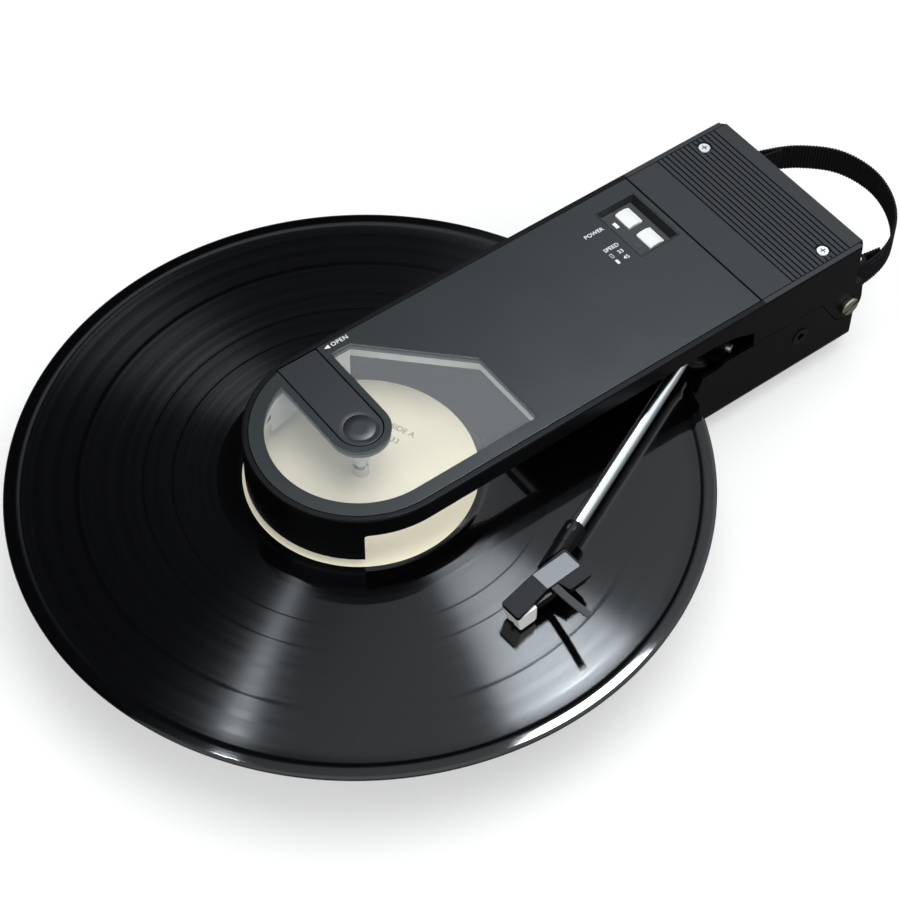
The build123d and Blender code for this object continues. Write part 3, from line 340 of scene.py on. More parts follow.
def scaled(tree, value, factor):
    """A vector times a number."""
    return add(tree, "ShaderNodeVectorMath", {"operation": "SCALE"}, {0: value, "Scale": factor}).outputs["Vector"]


def cone(tree, steps, top, bottom, depth):
    """A drum or a cut cone that stands on its bottom."""
    inputs = {"Vertices": steps, "Radius Top": top, "Radius Bottom": bottom, "Depth": depth}
    return add(tree, "GeometryNodeMeshCone", inputs=inputs).outputs["Mesh"]


def bar(tree, steps, radius, depth):
    """A round bar about its middle."""
    inputs = {"Vertices": steps, "Radius": radius, "Depth": depth}
    return add(tree, "GeometryNodeMeshCylinder", inputs=inputs).outputs["Mesh"]


def resampled(tree, line, mode, **count):
    """A curve cut into equal steps, by their length or their count."""
    inputs = {"Curve": line, **{label.capitalize(): value for label, value in count.items()}}
    return add(tree, "GeometryNodeResampleCurve", {"mode": mode}, inputs)


def grown(name, mesh, tree, finish, **sizes):
    """A plain mesh that a tree grows on the given points or path."""
    piece = place(name, mesh)
    growth = piece.modifiers.new(tree.name, "NODES")
    growth.node_group = tree
    wanted = {label.replace("_", " ").capitalize(): value for label, value in sizes.items()}
    wanted["Finish"] = finish
    for socket in tree.interface.items_tree:
        if socket.item_type == "SOCKET" and socket.in_out == "INPUT" and socket.name in wanted:
            growth[socket.identifier] = wanted[socket.name]
    return fixed(piece)


def screw_tree():
    """A screw on each point: a slightly tapered head with a slot or cross, and its shank."""
    names = ("Head radius", "Head height", "Recess width", "Recess length", "Recess depth", "Cross")
    tree, given = grove("screws on points", *names, "Shank radius", "Shank length", "Turn")
    radius, height, width, length, depth, cross = (given[label] for label in names)
    # The crown and the shank sink a hair into the head, and the two recesses differ, so that no two faces meet
    low = cone(tree, 40, radius, radius, times(tree, height, 0.72))
    crown = cone(tree, 40, times(tree, radius, 0.9), radius, times(tree, height, 0.28))
    head = add(tree, "GeometryNodeMeshBoolean", {"operation": "UNION"})
    for part in (low, moved(tree, crown, times(tree, height, 0.7199))):
        tree.links.new(part, head.inputs["Mesh 2"])
    reach = reckoned(tree, "MAXIMUM", times(tree, length, cross), times(tree, width, 0.9))
    across = vector(tree, length, width, times(tree, depth, 2.0))
    along = vector(tree, width, reach, times(tree, depth, 1.98))
    cut = add(tree, "GeometryNodeMeshBoolean", {"operation": "DIFFERENCE"})
    tree.links.new(head.outputs["Mesh"], cut.inputs["Mesh 1"])
    for size in (across, along):
        recess = add(tree, "GeometryNodeMeshCube", inputs={"Size": size})
        spin = vector(tree, z=given["Turn"])
        recess = add(tree, "GeometryNodeTransform", inputs={"Geometry": recess, "Rotation": spin})
        tree.links.new(moved(tree, recess, height), cut.inputs["Mesh 2"])
    shank = bar(tree, 20, given["Shank radius"], given["Shank length"])
    shank = moved(tree, shank, times(tree, given["Shank length"], -0.4999))
    way = add(tree, "GeometryNodeInputNamedAttribute", {"data_type": "FLOAT_VECTOR"}, {"Name": "facing"})
    turn = add(tree, "FunctionNodeAlignRotationToVector", {"axis": "Z"}, {"Vector": way.outputs["Attribute"]})
    return copies_tree(tree, given, given["Geometry"], union(tree, cut.outputs["Mesh"], shank), turn)


def foot_tree():
    """A round foot under each point, drawn in at its lower rim."""
    tree, given = grove("feet on points", "Foot radius", "Foot height", "Rim")
    radius, height, rim = (given[label] for label in ("Foot radius", "Foot height", "Rim"))
    drum = cone(tree, 64, radius, radius, reckoned(tree, "SUBTRACT", height, rim))
    low = cone(tree, 64, radius, reckoned(tree, "SUBTRACT", radius, rim), rim)
    foot = moved(tree, union(tree, moved(tree, drum, rim), low), times(tree, height, -1.0))
    return copies_tree(tree, given, given["Geometry"], foot)


def webbing_tree():
    """A ribbed flat band on edge along a path, with its length and height kept as a UV map."""
    tree, given = grove("ribbed webbing", "Width", "Thickness", "Rib pitch", "Rib depth")
    thickness, pitch = given["Thickness"], given["Rib pitch"]
    line = add(tree, "GeometryNodeMeshToCurve", inputs={"Mesh": given["Geometry"]})
    line = resampled(tree, line, "LENGTH", length=times(tree, pitch, 0.125))
    upright = add(tree, "GeometryNodeSetCurveNormal", {"mode": "Z_UP"}, {"Curve": line})
    far = add(tree, "GeometryNodeSplineParameter")
    line = add(
        tree,
        "GeometryNodeStoreNamedAttribute",
        {"data_type": "FLOAT", "domain": "POINT"},
        {"Geometry": upright, "Name": "along", "Value": far.outputs["Length"]},
    )
    edge = {"Width": thickness, "Height": given["Width"]}
    edge = add(tree, "GeometryNodeCurvePrimitiveQuadrilateral", inputs=edge)
    edge = add(tree, "GeometryNodeFilletCurve", inputs={"Curve": edge, "Radius": times(tree, thickness, 0.3)})
    edge = resampled(tree, edge, "COUNT", count=44)
    band = {"Curve": line, "Profile Curve": edge, "Fill Caps": True}
    band = add(tree, "GeometryNodeCurveToMesh", inputs=band)
    along = add(tree, "GeometryNodeInputNamedAttribute", {"data_type": "FLOAT"}, {"Name": "along"})
    along = along.outputs["Attribute"]
    phase = times(tree, reckoned(tree, "DIVIDE", along, pitch), math.pi)
    wave = reckoned(tree, "ABSOLUTE", reckoned(tree, "SINE", phase))
    sink = times(tree, reckoned(tree, "SUBTRACT", wave, 1.0), given["Rib depth"])
    outward = add(tree, "GeometryNodeInputNormal")
    push = scaled(tree, outward.outputs["Normal"], sink)
    ribbed = add(tree, "GeometryNodeSetPosition", inputs={"Geometry": band, "Offset": push})
    split = add(tree, "ShaderNodeSeparateXYZ", inputs={"Vector": add(tree, "GeometryNodeInputPosition")})
    chart = scaled(tree, vector(tree, along, split.outputs["Z"]), 1 / MM)
    mapped = add(
        tree,
        "GeometryNodeStoreNamedAttribute",
        {"data_type": "FLOAT2", "domain": "CORNER"},
        {"Geometry": ribbed, "Name": "weave", "Value": chart},
    )
    return finish_tree(tree, given, mapped)


def stitch_tree():
    """A stitch at each step along a path."""
    tree, given = grove("stitches on a path", "Stitch length", "Stitch spacing", "Thread radius")
    line = add(tree, "GeometryNodeMeshToCurve", inputs={"Mesh": given["Geometry"]})
    line = resampled(tree, line, "LENGTH", length=given["Stitch spacing"])
    thread = bar(tree, 8, given["Thread radius"], given["Stitch length"])
    way = add(tree, "GeometryNodeInputTangent")
    turn = add(tree, "FunctionNodeAlignRotationToVector", {"axis": "Z"}, {"Vector": way})
    return copies_tree(tree, given, line, thread, turn)


def points(name, spots):
    """A mesh of bare points in millimetres, each with the way that it faces."""
    mesh = bpy.data.meshes.new(name)
    mesh.from_pydata([at(*spot) for spot, way in spots], [], [])
    facing = mesh.attributes.new("facing", "FLOAT_VECTOR", "POINT")
    for k, (spot, way) in enumerate(spots):
        facing.data[k].vector = way
    return mesh


def paths(name, lines):
    """A mesh of open lines through places in millimetres."""
    corners, edges = [], []
    for line in lines:
        first = len(corners)
        corners += [at(*spot) for spot in line]
        edges += [(k, k + 1) for k in range(first, len(corners) - 1)]
    mesh = bpy.data.meshes.new(name)
    mesh.from_pydata(corners, edges, [])
    return mesh


TREES = {}


def screws(name, spots, finish, head, recess, shank, cross=1.0, turn=0.0):
    """Screws in millimetres on places that each have the way they face.

    The head has a radius and a height, its recess a width, a length and a depth, and the shank a
    radius and a length.
    """
    if "screw" not in TREES:
        TREES["screw"] = screw_tree()
    labels = ("head_radius", "head_height", "recess_width", "recess_length", "recess_depth")
    lengths = zip((*labels, "shank_radius", "shank_length"), (*head, *recess, *shank))
    sizes = {label: value * MM for label, value in lengths}
    piece = grown(name, points(name, spots), TREES["screw"], finish, cross=cross, turn=turn, **sizes)
    smooth(piece)
    return piece


# Finishes


def grained(name, scale, detail=2.0):
    """An empty material and fine noise over the piece's own space."""
    finish, tree = blank(name)
    own = add(tree, "ShaderNodeTexCoord").outputs["Object"]
    grain = add(tree, "ShaderNodeTexNoise", inputs={"Vector": own, "Scale": scale, "Detail": detail})
    return finish, tree, grain.outputs["Fac"]


def spread(tree, value, low, high):
    """A value from 0 to 1 spread between two others."""
    return add(tree, "ShaderNodeMapRange", inputs={"Value": value, "To Min": low, "To Max": high}).outputs[0]


def relief(tree, height, strength, distance=0.0001):
    """A fine bump."""
    inputs = {"Strength": strength, "Distance": distance, "Height": height}
    return add(tree, "ShaderNodeBump", inputs=inputs).outputs["Normal"]


def mixed(tree, factor, first, second):
    """A colour between two others."""
    inputs = {"Factor": factor, 6: first, 7: second}
    return add(tree, "ShaderNodeMix", {"data_type": "RGBA"}, inputs).outputs[2]


def surfaced(finish, tree, colour, roughness, **values):
    """The material ended in one surface; a hex code or a linked colour is its base."""
    inputs = {SHORT.get(label, label): value for label, value in values.items()}
    inputs["Base Color"] = linear(colour) if isinstance(colour, str) else colour
    inputs["Roughness"] = roughness
    close(tree, add(tree, "ShaderNodeBsdfPrincipled", inputs=inputs))
    return finish


SHORT = {"ior": "IOR", "gloss": "Specular IOR Level", "normal": "Normal", "metal": "Metallic", "alpha": "Alpha"}


def moulded_black_abs():
    """Gloss-moulded ABS: a deep black that mirrors softly, with a faint flow texture."""
    finish, tree, grain = grained("moulded_black_abs", 900.0)
    uneven = spread(tree, grain, 0.28, 0.40)
    return surfaced(finish, tree, "#040405", uneven, ior=1.46, gloss=0.13, normal=relief(tree, grain, 0.04))


def lacquered_panel():
    """Dark lacquered plate: a smooth charcoal face that mirrors the room softly."""
    finish, tree, drift = grained("lacquered_panel", 40.0, 3.0)
    return surfaced(finish, tree, "#272c2e", spread(tree, drift, 0.16, 0.21), ior=1.5)


def satin_trim_abs():
    """Ribbed ABS with a fine spark texture: satin charcoal."""
    finish, tree, grain = grained("satin_trim_abs", 2600.0)
    return surfaced(finish, tree, "#16181a", 0.5, ior=1.5, gloss=0.38, normal=relief(tree, grain, 0.12))


def clear_acrylic():
    """Moulded clear acrylic with a light haze, so what lies under it looks washed."""
    finish, tree = blank("clear_acrylic")
    finish.surface_render_method = "BLENDED"
    return surfaced(finish, tree, "#dfe6ea", 0.06, ior=1.49, alpha=0.09)


def light_grey_abs():
    """Light grey moulded ABS."""
    finish, tree, grain = grained("light_grey_abs", 1800.0)
    return surfaced(finish, tree, "#c4c7c8", 0.42, ior=1.5, normal=relief(tree, grain, 0.08))


def rings(tree, radius, scale, detail):
    """Noise that only changes with the radius, so it runs in rings."""
    inputs = {"W": radius, "Scale": scale, "Detail": detail}
    return add(tree, "ShaderNodeTexNoise", {"noise_dimensions": "1D"}, inputs).outputs["Fac"]


def pressed_vinyl():
    """Pressed vinyl: fine grooves round the centre stretch every highlight into a radial fan.

    Real grooves are about 0.1 mm apart. They are drawn a few times coarser so that they show.
    """
    finish, tree = blank("pressed_vinyl")
    own = add(tree, "ShaderNodeTexCoord").outputs["Object"]
    centred = add(tree, "ShaderNodeMapping", inputs={"Vector": own, "Location": (-SPINDLE.x, -SPINDLE.y, 0.0)})
    flat = add(tree, "ShaderNodeVectorMath", {"operation": "MULTIPLY"}, {0: centred, 1: (1.0, 1.0, 0.0)})
    radius = add(tree, "ShaderNodeVectorMath", {"operation": "LENGTH"}, {0: flat}).outputs["Value"]
    grooves = rings(tree, radius, 2600.0, 2.0)
    bands = rings(tree, radius, 260.0, 3.0)
    # Smooth rings, in millimetres: the run-out, the gaps between the tracks and the bead
    gaps = ((52.0, 61.0), (79.2, 79.9), (91.8, 92.4), (119.2, 119.7), (120.3, 120.8), (143.0, 151.0))
    edge, blur = 151.0, 0.15
    across = add(tree, "ShaderNodeMapRange", inputs={"Value": radius, "From Max": edge * MM})
    grooved = add(tree, "ShaderNodeValToRGB", inputs={"Fac": across})
    stops = grooved.color_ramp.elements
    for stop, position in zip(stops, (0.0, gaps[0][0] / edge)):
        stop.position, stop.color = position, (0, 0, 0, 1)
    for inner, outer in gaps:
        for spot, level in ((inner - blur, 1), (inner, 0), (outer, 0), (outer + blur, 1)):
            stops.new(min(spot / edge, 1.0)).color = (level, level, level, 1)
    cut = reckoned(tree, "MULTIPLY_ADD", bands, 0.08, 0.055)
    rough = reckoned(tree, "MULTIPLY_ADD", grooved, cut, 0.045)
    around = add(tree, "ShaderNodeTangent", {"direction_type": "RADIAL", "axis": "Z"})
    # The radial tangent runs round the disc, and a quarter turn lays the highlights across the grooves
    stretch = {"Anisotropic": 1.0, "Anisotropic Rotation": 0.25, "Tangent": around}
    coat = {"Coat Weight": 1.0, "Coat Roughness": 0.035, "Coat IOR": 1.5}
    fine = relief(tree, grooves, 0.10, 0.00003)
    return surfaced(finish, tree, "#030304", rough, ior=1.5, gloss=0.25, normal=fine, **stretch, **coat)


def label_paper():
    """Uncoated cream label paper with faint fibres."""
    finish, tree, fibre = grained("label_paper", 1500.0, 4.0)
    tint = mixed(tree, fibre, linear("#f5eed5"), linear("#efe7cb"))
    return surfaced(finish, tree, tint, 0.62, normal=relief(tree, fibre, 0.1))


def printing_ink(name, code):
    """Flat screen print."""
    finish, tree, mottle = grained(name, 3000.0)
    return surfaced(finish, tree, code, spread(tree, mottle, 0.45, 0.6))


def bright_metal(name, code, roughness):
    """Turned or plated metal with fine machining marks."""
    finish, tree, marks = grained(name, 1600.0, 3.0)
    uneven = spread(tree, marks, roughness * 0.85, roughness * 1.2)
    return surfaced(finish, tree, code, uneven, metal=1.0)


def plain_moulding(name, code, roughness, scale=1500.0, depth=0.06, gloss=0.5):
    """Moulded or coated surface with a fine grain."""
    finish, tree, grain = grained(name, scale)
    uneven = spread(tree, grain, roughness * 0.9, roughness * 1.1)
    return surfaced(finish, tree, code, uneven, ior=1.5, gloss=gloss, normal=relief(tree, grain, depth))


def woven_webbing():
    """Polypropylene webbing: dull black yarn, its threads about half a millimetre apart."""
    finish, tree = blank("woven_webbing")
    own = add(tree, "ShaderNodeUVMap", {"uv_map": "weave"})
    slant = add(tree, "ShaderNodeMapping", inputs={"Vector": own, "Scale": (3.2, 1.1, 1.0)})
    threads = add(tree, "ShaderNodeTexNoise", inputs={"Vector": slant, "Scale": 1.0, "Detail": 3.0}).outputs["Fac"]
    tint = mixed(tree, threads, linear("#040405"), linear("#141416"))
    return surfaced(finish, tree, tint, 0.75, gloss=0.3, normal=relief(tree, threads, 0.6, 0.0002))


FINISHES = {}


def stock():
    """Every finish of the turntable, made once."""
    FINISHES.update(
        casing=moulded_black_abs(),
        panel=lacquered_panel(),
        trim=satin_trim_abs(),
        acrylic=clear_acrylic(),
        light=light_grey_abs(),
        vinyl=pressed_vinyl(),
        paper=label_paper(),
        white_ink=printing_ink("white_screen_print", "#e8e9ea"),
        grey_ink=printing_ink("grey_screen_print", "#5f5c54"),
        chrome=bright_metal("chrome_plated_brass", "#d6d7d8", 0.09),
        tube=bright_metal("polished_aluminium_tube", "#f2f3f4", 0.24),
        steel=bright_metal("zinc_plated_steel", "#a9abad", 0.3),
        nickel=bright_metal("nickel_plated_steel", "#b9b5a8", 0.22),
        bronze=bright_metal("sintered_bronze", "#a9814f", 0.4),
        lever=plain_moulding("smooth_black_lever", "#121416", 0.3, 1200.0, 0.02, 0.4),
        bezel=plain_moulding("satin_black_bezel", "#0a0b0c", 0.42),
        arm=plain_moulding("satin_black_paint", "#08080a", 0.4, 1400.0, 0.03, 0.15),
        inlay=plain_moulding("grey_anodised_inlay", "#6e7477", 0.4, 2000.0, 0.04),
        lift=plain_moulding("satin_grey_lift", "#4c4e51", 0.26, 2000.0, 0.02),
        # Near-black for the jack and the collar's grub screw: the jack's own black plastic, plus painted shade
        # standing in for the shaded hollows of both sockets
        socket=plain_moulding("black_plastic_and_painted_hollow_shade", "#040405", 0.3, 1400.0, 0.02, 0.2),
        screw_zinc=bright_metal("bright_zinc_screw", "#d2d2cf", 0.34),
        pickup=plain_moulding("gloss_black_pickup", "#0a0a0b", 0.3, 1400.0, 0.03, 0.3),
        white=plain_moulding("white_acetal", "#f2f2f0", 0.3, 1400.0, 0.03),
        button=plain_moulding("white_button_acrylic", "#d9dbda", 0.3, 1400.0, 0.03, 0.2),
        light_pipe=plain_moulding("clear_white_light_pipe", "#f4f6f6", 0.3),
        dark_pipe=plain_moulding("unlit_light_pipe", "#2a2b2d", 0.3),
        rubber=plain_moulding("nitrile_rubber", "#121213", 0.72, 1100.0, 0.2),
        board=plain_moulding("coated_board", "#0f4a2b", 0.35),
        sleeve=plain_moulding("shrink_sleeve", "#1b3564", 0.3),
        grey=plain_moulding("moulded_grey_abs", "#232427", 0.4),
        webbing=woven_webbing(),
        thread=plain_moulding("black_sewing_thread", "#18181a", 0.7, 3000.0, 0.2),
    )


# Pieces


def length(name, description, default):
    """A length that the sidebar shows."""
    return bpy.props.FloatProperty(name=name, description=description, default=default, unit="LENGTH")


class CasingSizes(bpy.types.PropertyGroup):
    edge: length("Edge rounding", "Radius of the casing's moulded edges", 0.0005)


class DiscSizes(bpy.types.PropertyGroup):
    segments: bpy.props.IntProperty(name="Segments", description="Steps round the disc", default=256, min=64, max=512)
    ring_radius: length("Pressed ring", "Radius of the ring pressed in the label", 0.016)


class StrapSizes(bpy.types.PropertyGroup):
    rib_pitch: length("Rib pitch", "Distance between the webbing's cross ribs", 0.0015)
    rib_depth: length("Rib depth", "How deep the webbing's cross ribs are", 0.00045)
    stitch_length: length("Stitch length", "Length of one stitch", 0.0016)


class ScrewSizes(bpy.types.PropertyGroup):
    trim_cross: length("Trim screw recess", "Width of the cross in the trim's screws", 0.00075)
    hinge_slot: length("Hinge screw slot", "Width of the slot in the hinge screws", 0.0012)


class StageSizes(bpy.types.PropertyGroup):
    floor_colour: bpy.props.FloatVectorProperty(
        name="Floor", description="Colour of the floor", subtype="COLOR", size=4, default=linear("#f4f4f4"), max=1.0
    )


def clad(body, *rows):
    """Dresses CAD nodes on one body: name, node, finish, slot and the width of the rounded edges."""
    for name, node, finish, slot, width in rows:
        settle(dressed(name, node, FINISHES[finish], width), body, slot, node)


class TURNTABLE_OT_stage(bpy.types.Operator):
    """Adds the floor, the lamps, the world and the camera"""

    bl_idname = "turntable.stage"
    bl_label = "Stage"

    def floor(self, colour):
        half = 6.0
        corners = [(-half, -half, 0), (half, -half, 0), (half, half, 0), (-half, half, 0)]
        floor_mesh = bpy.data.meshes.new("floor")
        floor_mesh.from_pydata(corners, [], [(0, 1, 2, 3)])
        finish, tree = blank("studio_floor")
        path = add(tree, "ShaderNodeLightPath").outputs
        seen = reckoned(tree, "MAXIMUM", path["Is Camera Ray"], path["Is Transmission Ray"])
        pale = reckoned(tree, "MAXIMUM", seen, times(tree, path["Is Glossy Ray"], 0.06))
        shade = mixed(tree, pale, linear("#5c5c5c"), colour)
        matt = add(tree, "ShaderNodeBsdfDiffuse", inputs={"Color": shade, "Roughness": 0.0})
        glow = add(tree, "ShaderNodeEmission", inputs={"Color": (1, 1, 1, 1), "Strength": 1.0})
        # Far from the object, where the lamps fade, the floor glows up to the background's white
        own = add(tree, "ShaderNodeTexCoord").outputs["Object"]
        away = add(tree, "ShaderNodeVectorMath", {"operation": "LENGTH"}, {0: own}).outputs["Value"]
        fade = {"Value": away, "From Min": 0.4, "From Max": 1.3, "To Min": 0.45, "To Max": 1.0}
        fade = add(tree, "ShaderNodeMapRange", {"interpolation_type": "SMOOTHSTEP"}, fade)
        pale = times(tree, pale, fade.outputs[0])
        close(tree, add(tree, "ShaderNodeMixShader", inputs={0: pale, 1: matt, 2: glow}))
        place("floor", floor_mesh, finish)

    def sky(self, world):
        world.use_nodes = True
        tree = world.node_tree
        tree.nodes.clear()
        path = add(tree, "ShaderNodeLightPath").outputs
        camera = path["Is Camera Ray"]
        way = add(tree, "ShaderNodeTexCoord").outputs["Generated"]
        # What gloss mirrors: a bright ceiling to the front that falls to a dark wall behind the lid
        slant = add(tree, "ShaderNodeVectorMath", {"operation": "DOT_PRODUCT"}, {0: way, 1: (-0.3, 1.0, 0.0)})
        depth = {"Value": slant.outputs["Value"], "From Min": 0.1, "From Max": 0.6}
        ceiling = add(tree, "ShaderNodeValToRGB", inputs={"Fac": add(tree, "ShaderNodeMapRange", inputs=depth)})
        stops = ceiling.color_ramp.elements
        stops[0].color, stops[1].color = (0.79, 0.86, 0.9, 1), (0.011, 0.012, 0.013, 1)
        falls = ((0.2, 0.75), (0.35, 0.58), (0.42, 0.5), (0.5, 0.48), (0.55, 0.4), (0.59, 0.22))
        for spot, level in (*falls, (0.62, 0.1), (0.66, 0.03), (0.74, 0.015)):
            stops.new(spot).color = (level * 0.88, level * 0.95, level, 1)
        split = add(tree, "ShaderNodeSeparateXYZ", inputs={"Vector": way})
        horizon = add(tree, "ShaderNodeValToRGB", inputs={"Fac": split.outputs["Z"]})
        low, high = horizon.color_ramp.elements
        low.position, low.color = 0.2, (0.0, 0.0, 0.0, 1)
        high.position, high.color = 0.42, (1.0, 1.0, 1.0, 1)
        room = mixed(tree, horizon, (0.3, 0.31, 0.32, 1), ceiling)
        mirrored = reckoned(tree, "MAXIMUM", path["Is Glossy Ray"], path["Is Transmission Ray"])
        seen = reckoned(tree, "MAXIMUM", mirrored, camera)
        bright = reckoned(tree, "MULTIPLY_ADD", camera, -0.25, 1.25)
        picture = {"Color": mixed(tree, camera, room, (1, 1, 1, 1)), "Strength": bright}
        picture = add(tree, "ShaderNodeBackground", inputs=picture)
        soft = add(tree, "ShaderNodeBackground", inputs={"Color": (0.96, 0.98, 1.0, 1), "Strength": 0.6})
        blend = add(tree, "ShaderNodeMixShader", inputs={0: seen, 1: soft, 2: picture})
        add(tree, "ShaderNodeOutputWorld", inputs={"Surface": blend})

    def lamp(self, name, kind, spot, power, target=(0.0, 0.0, 0.0)):
        lamp = bpy.data.lights.new(name, kind)
        lamp.energy = power
        holder = place(name, lamp)
        holder.location = spot
        holder.rotation_euler = (Vector(target) - Vector(spot)).to_track_quat("-Z", "Y").to_euler()
        return lamp, holder

    def execute(self, context):
        scene = context.scene
        scene.view_settings.view_transform = "Standard"
        self.floor(tuple(scene.turntable_stage.floor_colour))
        scene.world = bpy.data.worlds.new("studio")
        self.sky(scene.world)
        for name, spot, size, power in (
            ("overhead_fill", (0.15, -0.15, 1.6), (1.3, 1.3), 18.0),
            ("left_softbox", (-1.5, 0.2, 0.9), (0.7, 0.9), 4.5),
            ("front_softbox", (0.35, -1.5, 0.95), (1.0, 0.5), 7.0),
        ):
            lamp, holder = self.lamp(name, "AREA", spot, power, (0.0, 0.0, 0.02))
            lamp.shape = "RECTANGLE"
            lamp.size, lamp.size_y = size
            holder.visible_glossy = False
        # Two lamps that only gloss shows draw the fans of light in the grooves
        for name, kind, spot, key, width, power in (
            ("front_fan", "POINT", (0.862, 0.709, 2.181), "shadow_soft_size", 0.15, 74.0),
            ("side_fan", "SUN", (0.412, 0.882, 1.747), "angle", 0.014, 0.085),
        ):
            lamp, holder = self.lamp(name, kind, spot, power)
            lamp.color = (0.86, 0.94, 1.0)
            setattr(lamp, key, width)
            holder.visible_diffuse = False

        # The photograph's camera: a long lens high over the tonearm's side
        azimuth, height, roll = math.radians(-37.41), math.radians(51.54), math.radians(0.6755)
        level = math.cos(height)
        back = Vector((math.sin(azimuth) * level, -math.cos(azimuth) * level, math.sin(height)))
        right = Vector((0, 0, 1)).cross(back).normalized()
        upward = back.cross(right)
        right, upward = (
            right * math.cos(roll) + upward * math.sin(roll),
            upward * math.cos(roll) - right * math.sin(roll),
        )
        lens = bpy.data.cameras.new("camera")
        lens.sensor_fit = "HORIZONTAL"
        lens.sensor_width = 36.0
        lens.lens = 96.19
        lens.clip_end = 50.0
        camera = place("camera", lens)
        turn = Matrix((right, upward, back)).transposed().to_4x4()
        camera.matrix_world = Matrix.Translation(at(-350.75, -520.48, 803.41)) @ turn
        scene.camera = camera
        return {"FINISHED"}


class TURNTABLE_OT_casing(bpy.types.Operator):
    """Dresses the two casing shells, the jack, the pedestal and the cheek screws"""

    bl_idname = "turntable.casing"
    bl_label = "Casing"

    def execute(self, context):
        edge = context.scene.turntable_casing.edge / MM
        clad(
            "base",
            ("casing_tray", "base_lower_shell", "casing", "casing_black", edge),
            ("casing_deck", "base_upper_shell", "casing", "casing_black", edge * 0.7),
            # The jack wears near-black: its black plastic, darkened further as painted shade of its socket's hollow
            ("plug_socket", "line_jack", "socket", "bezel_dark", 0.2),
            ("arm_pillar", "arm_pedestal", "grey", "casing_grey", 0.3),
        )
        pivots = [((235.4, side * 49.3, -6.9), (0.0, side, 0.0)) for side in (-1, 1)]
        slot = context.scene.turntable_screws.hinge_slot / MM
        hinges = screws(
            "lid_hinge_screws", pivots, FINISHES["nickel"], (4.75, 2.2), (slot, 12.0, 1.2), (2.5, 9.2), 0.0, 0.49
        )
        settle(hinges, "base", "bright_metal", "hinge_screws")
        spots = [((x, y, -31.8), (0.0, 0.0, -1.0)) for x in (112.0, 196.0) for y in (-38.0, 38.0)]
        tray_screws = screws("tray_screws", spots, FINISHES["steel"], (3.0, 1.9), (0.8, 3.4, 1.2), (1.4, 17.8))
        settle(tray_screws, "base", "steel", "case_screws")
        spots = [((x, y, -34.2), (0, 0, 1)) for x in (-6.0, 215.0) for y in (-35.3, 35.3)]
        feet = grown(
            "rubber_feet_round",
            points("rubber_feet_round", spots),
            foot_tree(),
            FINISHES["rubber"],
            foot_radius=6.5 * MM,
            foot_height=6.5 * MM,
            rim=1.0 * MM,
        )
        smooth(feet, 50.0)
        settle(feet, "base", "rubber_black", "rubber_feet")
        return {"FINISHED"}


class TURNTABLE_OT_disc(bpy.types.Operator):
    """Builds the disc with its bead and bands, its labels, and the spindle"""

    bl_idname = "turntable.disc"
    bl_label = "Disc and spindle"

    def execute(self, context):
        sizes = context.scene.turntable_disc
        steps = sizes.segments
        hole, thick, sink = 3.62, 2.1, -0.25
        # Half of the section, from the hole out over the sunken grooves and the bead to the rim's middle
        face = [(hole, 0.0), (52.3, 0.0), (53.2, -0.06), (54.0, -0.2), (54.6, sink)]
        face += [(radius, sink) for radius in range(60, 143, 6)]
        face += [(143.2, sink), (144.0, -0.18), (145.0, -0.05), (146.0, 0.0), (146.2, 0.0), (149.1, 0.0)]
        face += [(149.3, -0.004), (149.6, -0.03), (150.2, -0.16), (150.6, -0.5), (150.75, -1.05)]
        under = [(r, -thick - z) for r, z in reversed(face[:-1])]
        disc = turned("vinyl_disc", face + under, FINISHES["vinyl"], steps)
        settle(disc, "platter", "vinyl_black", "record_disc")
        # The paper stays thin, so that the stylus clears it at the end of its swing
        ring, low, high = sizes.ring_radius / MM, 0.005, 0.03
        top = [(hole, low), (hole, high), (ring - 0.5, high), (ring - 0.15, 0.01), (ring + 0.15, 0.01)]
        top += [(ring + 0.5, high), (50.05, high), (50.25, 0.02), (50.25, low)]
        upper = turned("label_top", top, FINISHES["paper"], steps // 2)
        lower = turned("label_under", [(r, -thick - z) for r, z in top], FINISHES["paper"], steps // 2)
        label = joined("disc_labels", [upper, lower])
        smooth(label)
        settle(label, "platter", "label_cream", "record_label")
        words = [
            lettering(name, text, 4.0, FINISHES["grey_ink"], (x, y, high + 0.005), -67.0, -0.01)
            for name, text, x, y in (
                ("side_word", "SIDE A", 27.0, 7.0),
                ("turns_number", "33", 21.0, 4.6),
                ("stereo_word", "STEREO", -19.0, -12.0),
            )
        ]
        settle(joined("label_print", words), "platter", "label_cream")
        stem = [(0, 9.5), (0.7, 9.42), (1.0, 9.2), (2.6, 7.6), (2.62, 5.5), (2.75, 5.3), (3.4, 4.6), (3.55, 4.35)]
        stem += [(3.57, 4.2), (3.57, -2.22), (2.5, -2.22), (2.5, -27.6), (1.9, -28.2), (0, -28.2)]
        spindle = turned("centre_spindle", stem, FINISHES["chrome"], 64)
        settle(spindle, "platter", "bright_metal", "spindle")
        return {"FINISHED"}


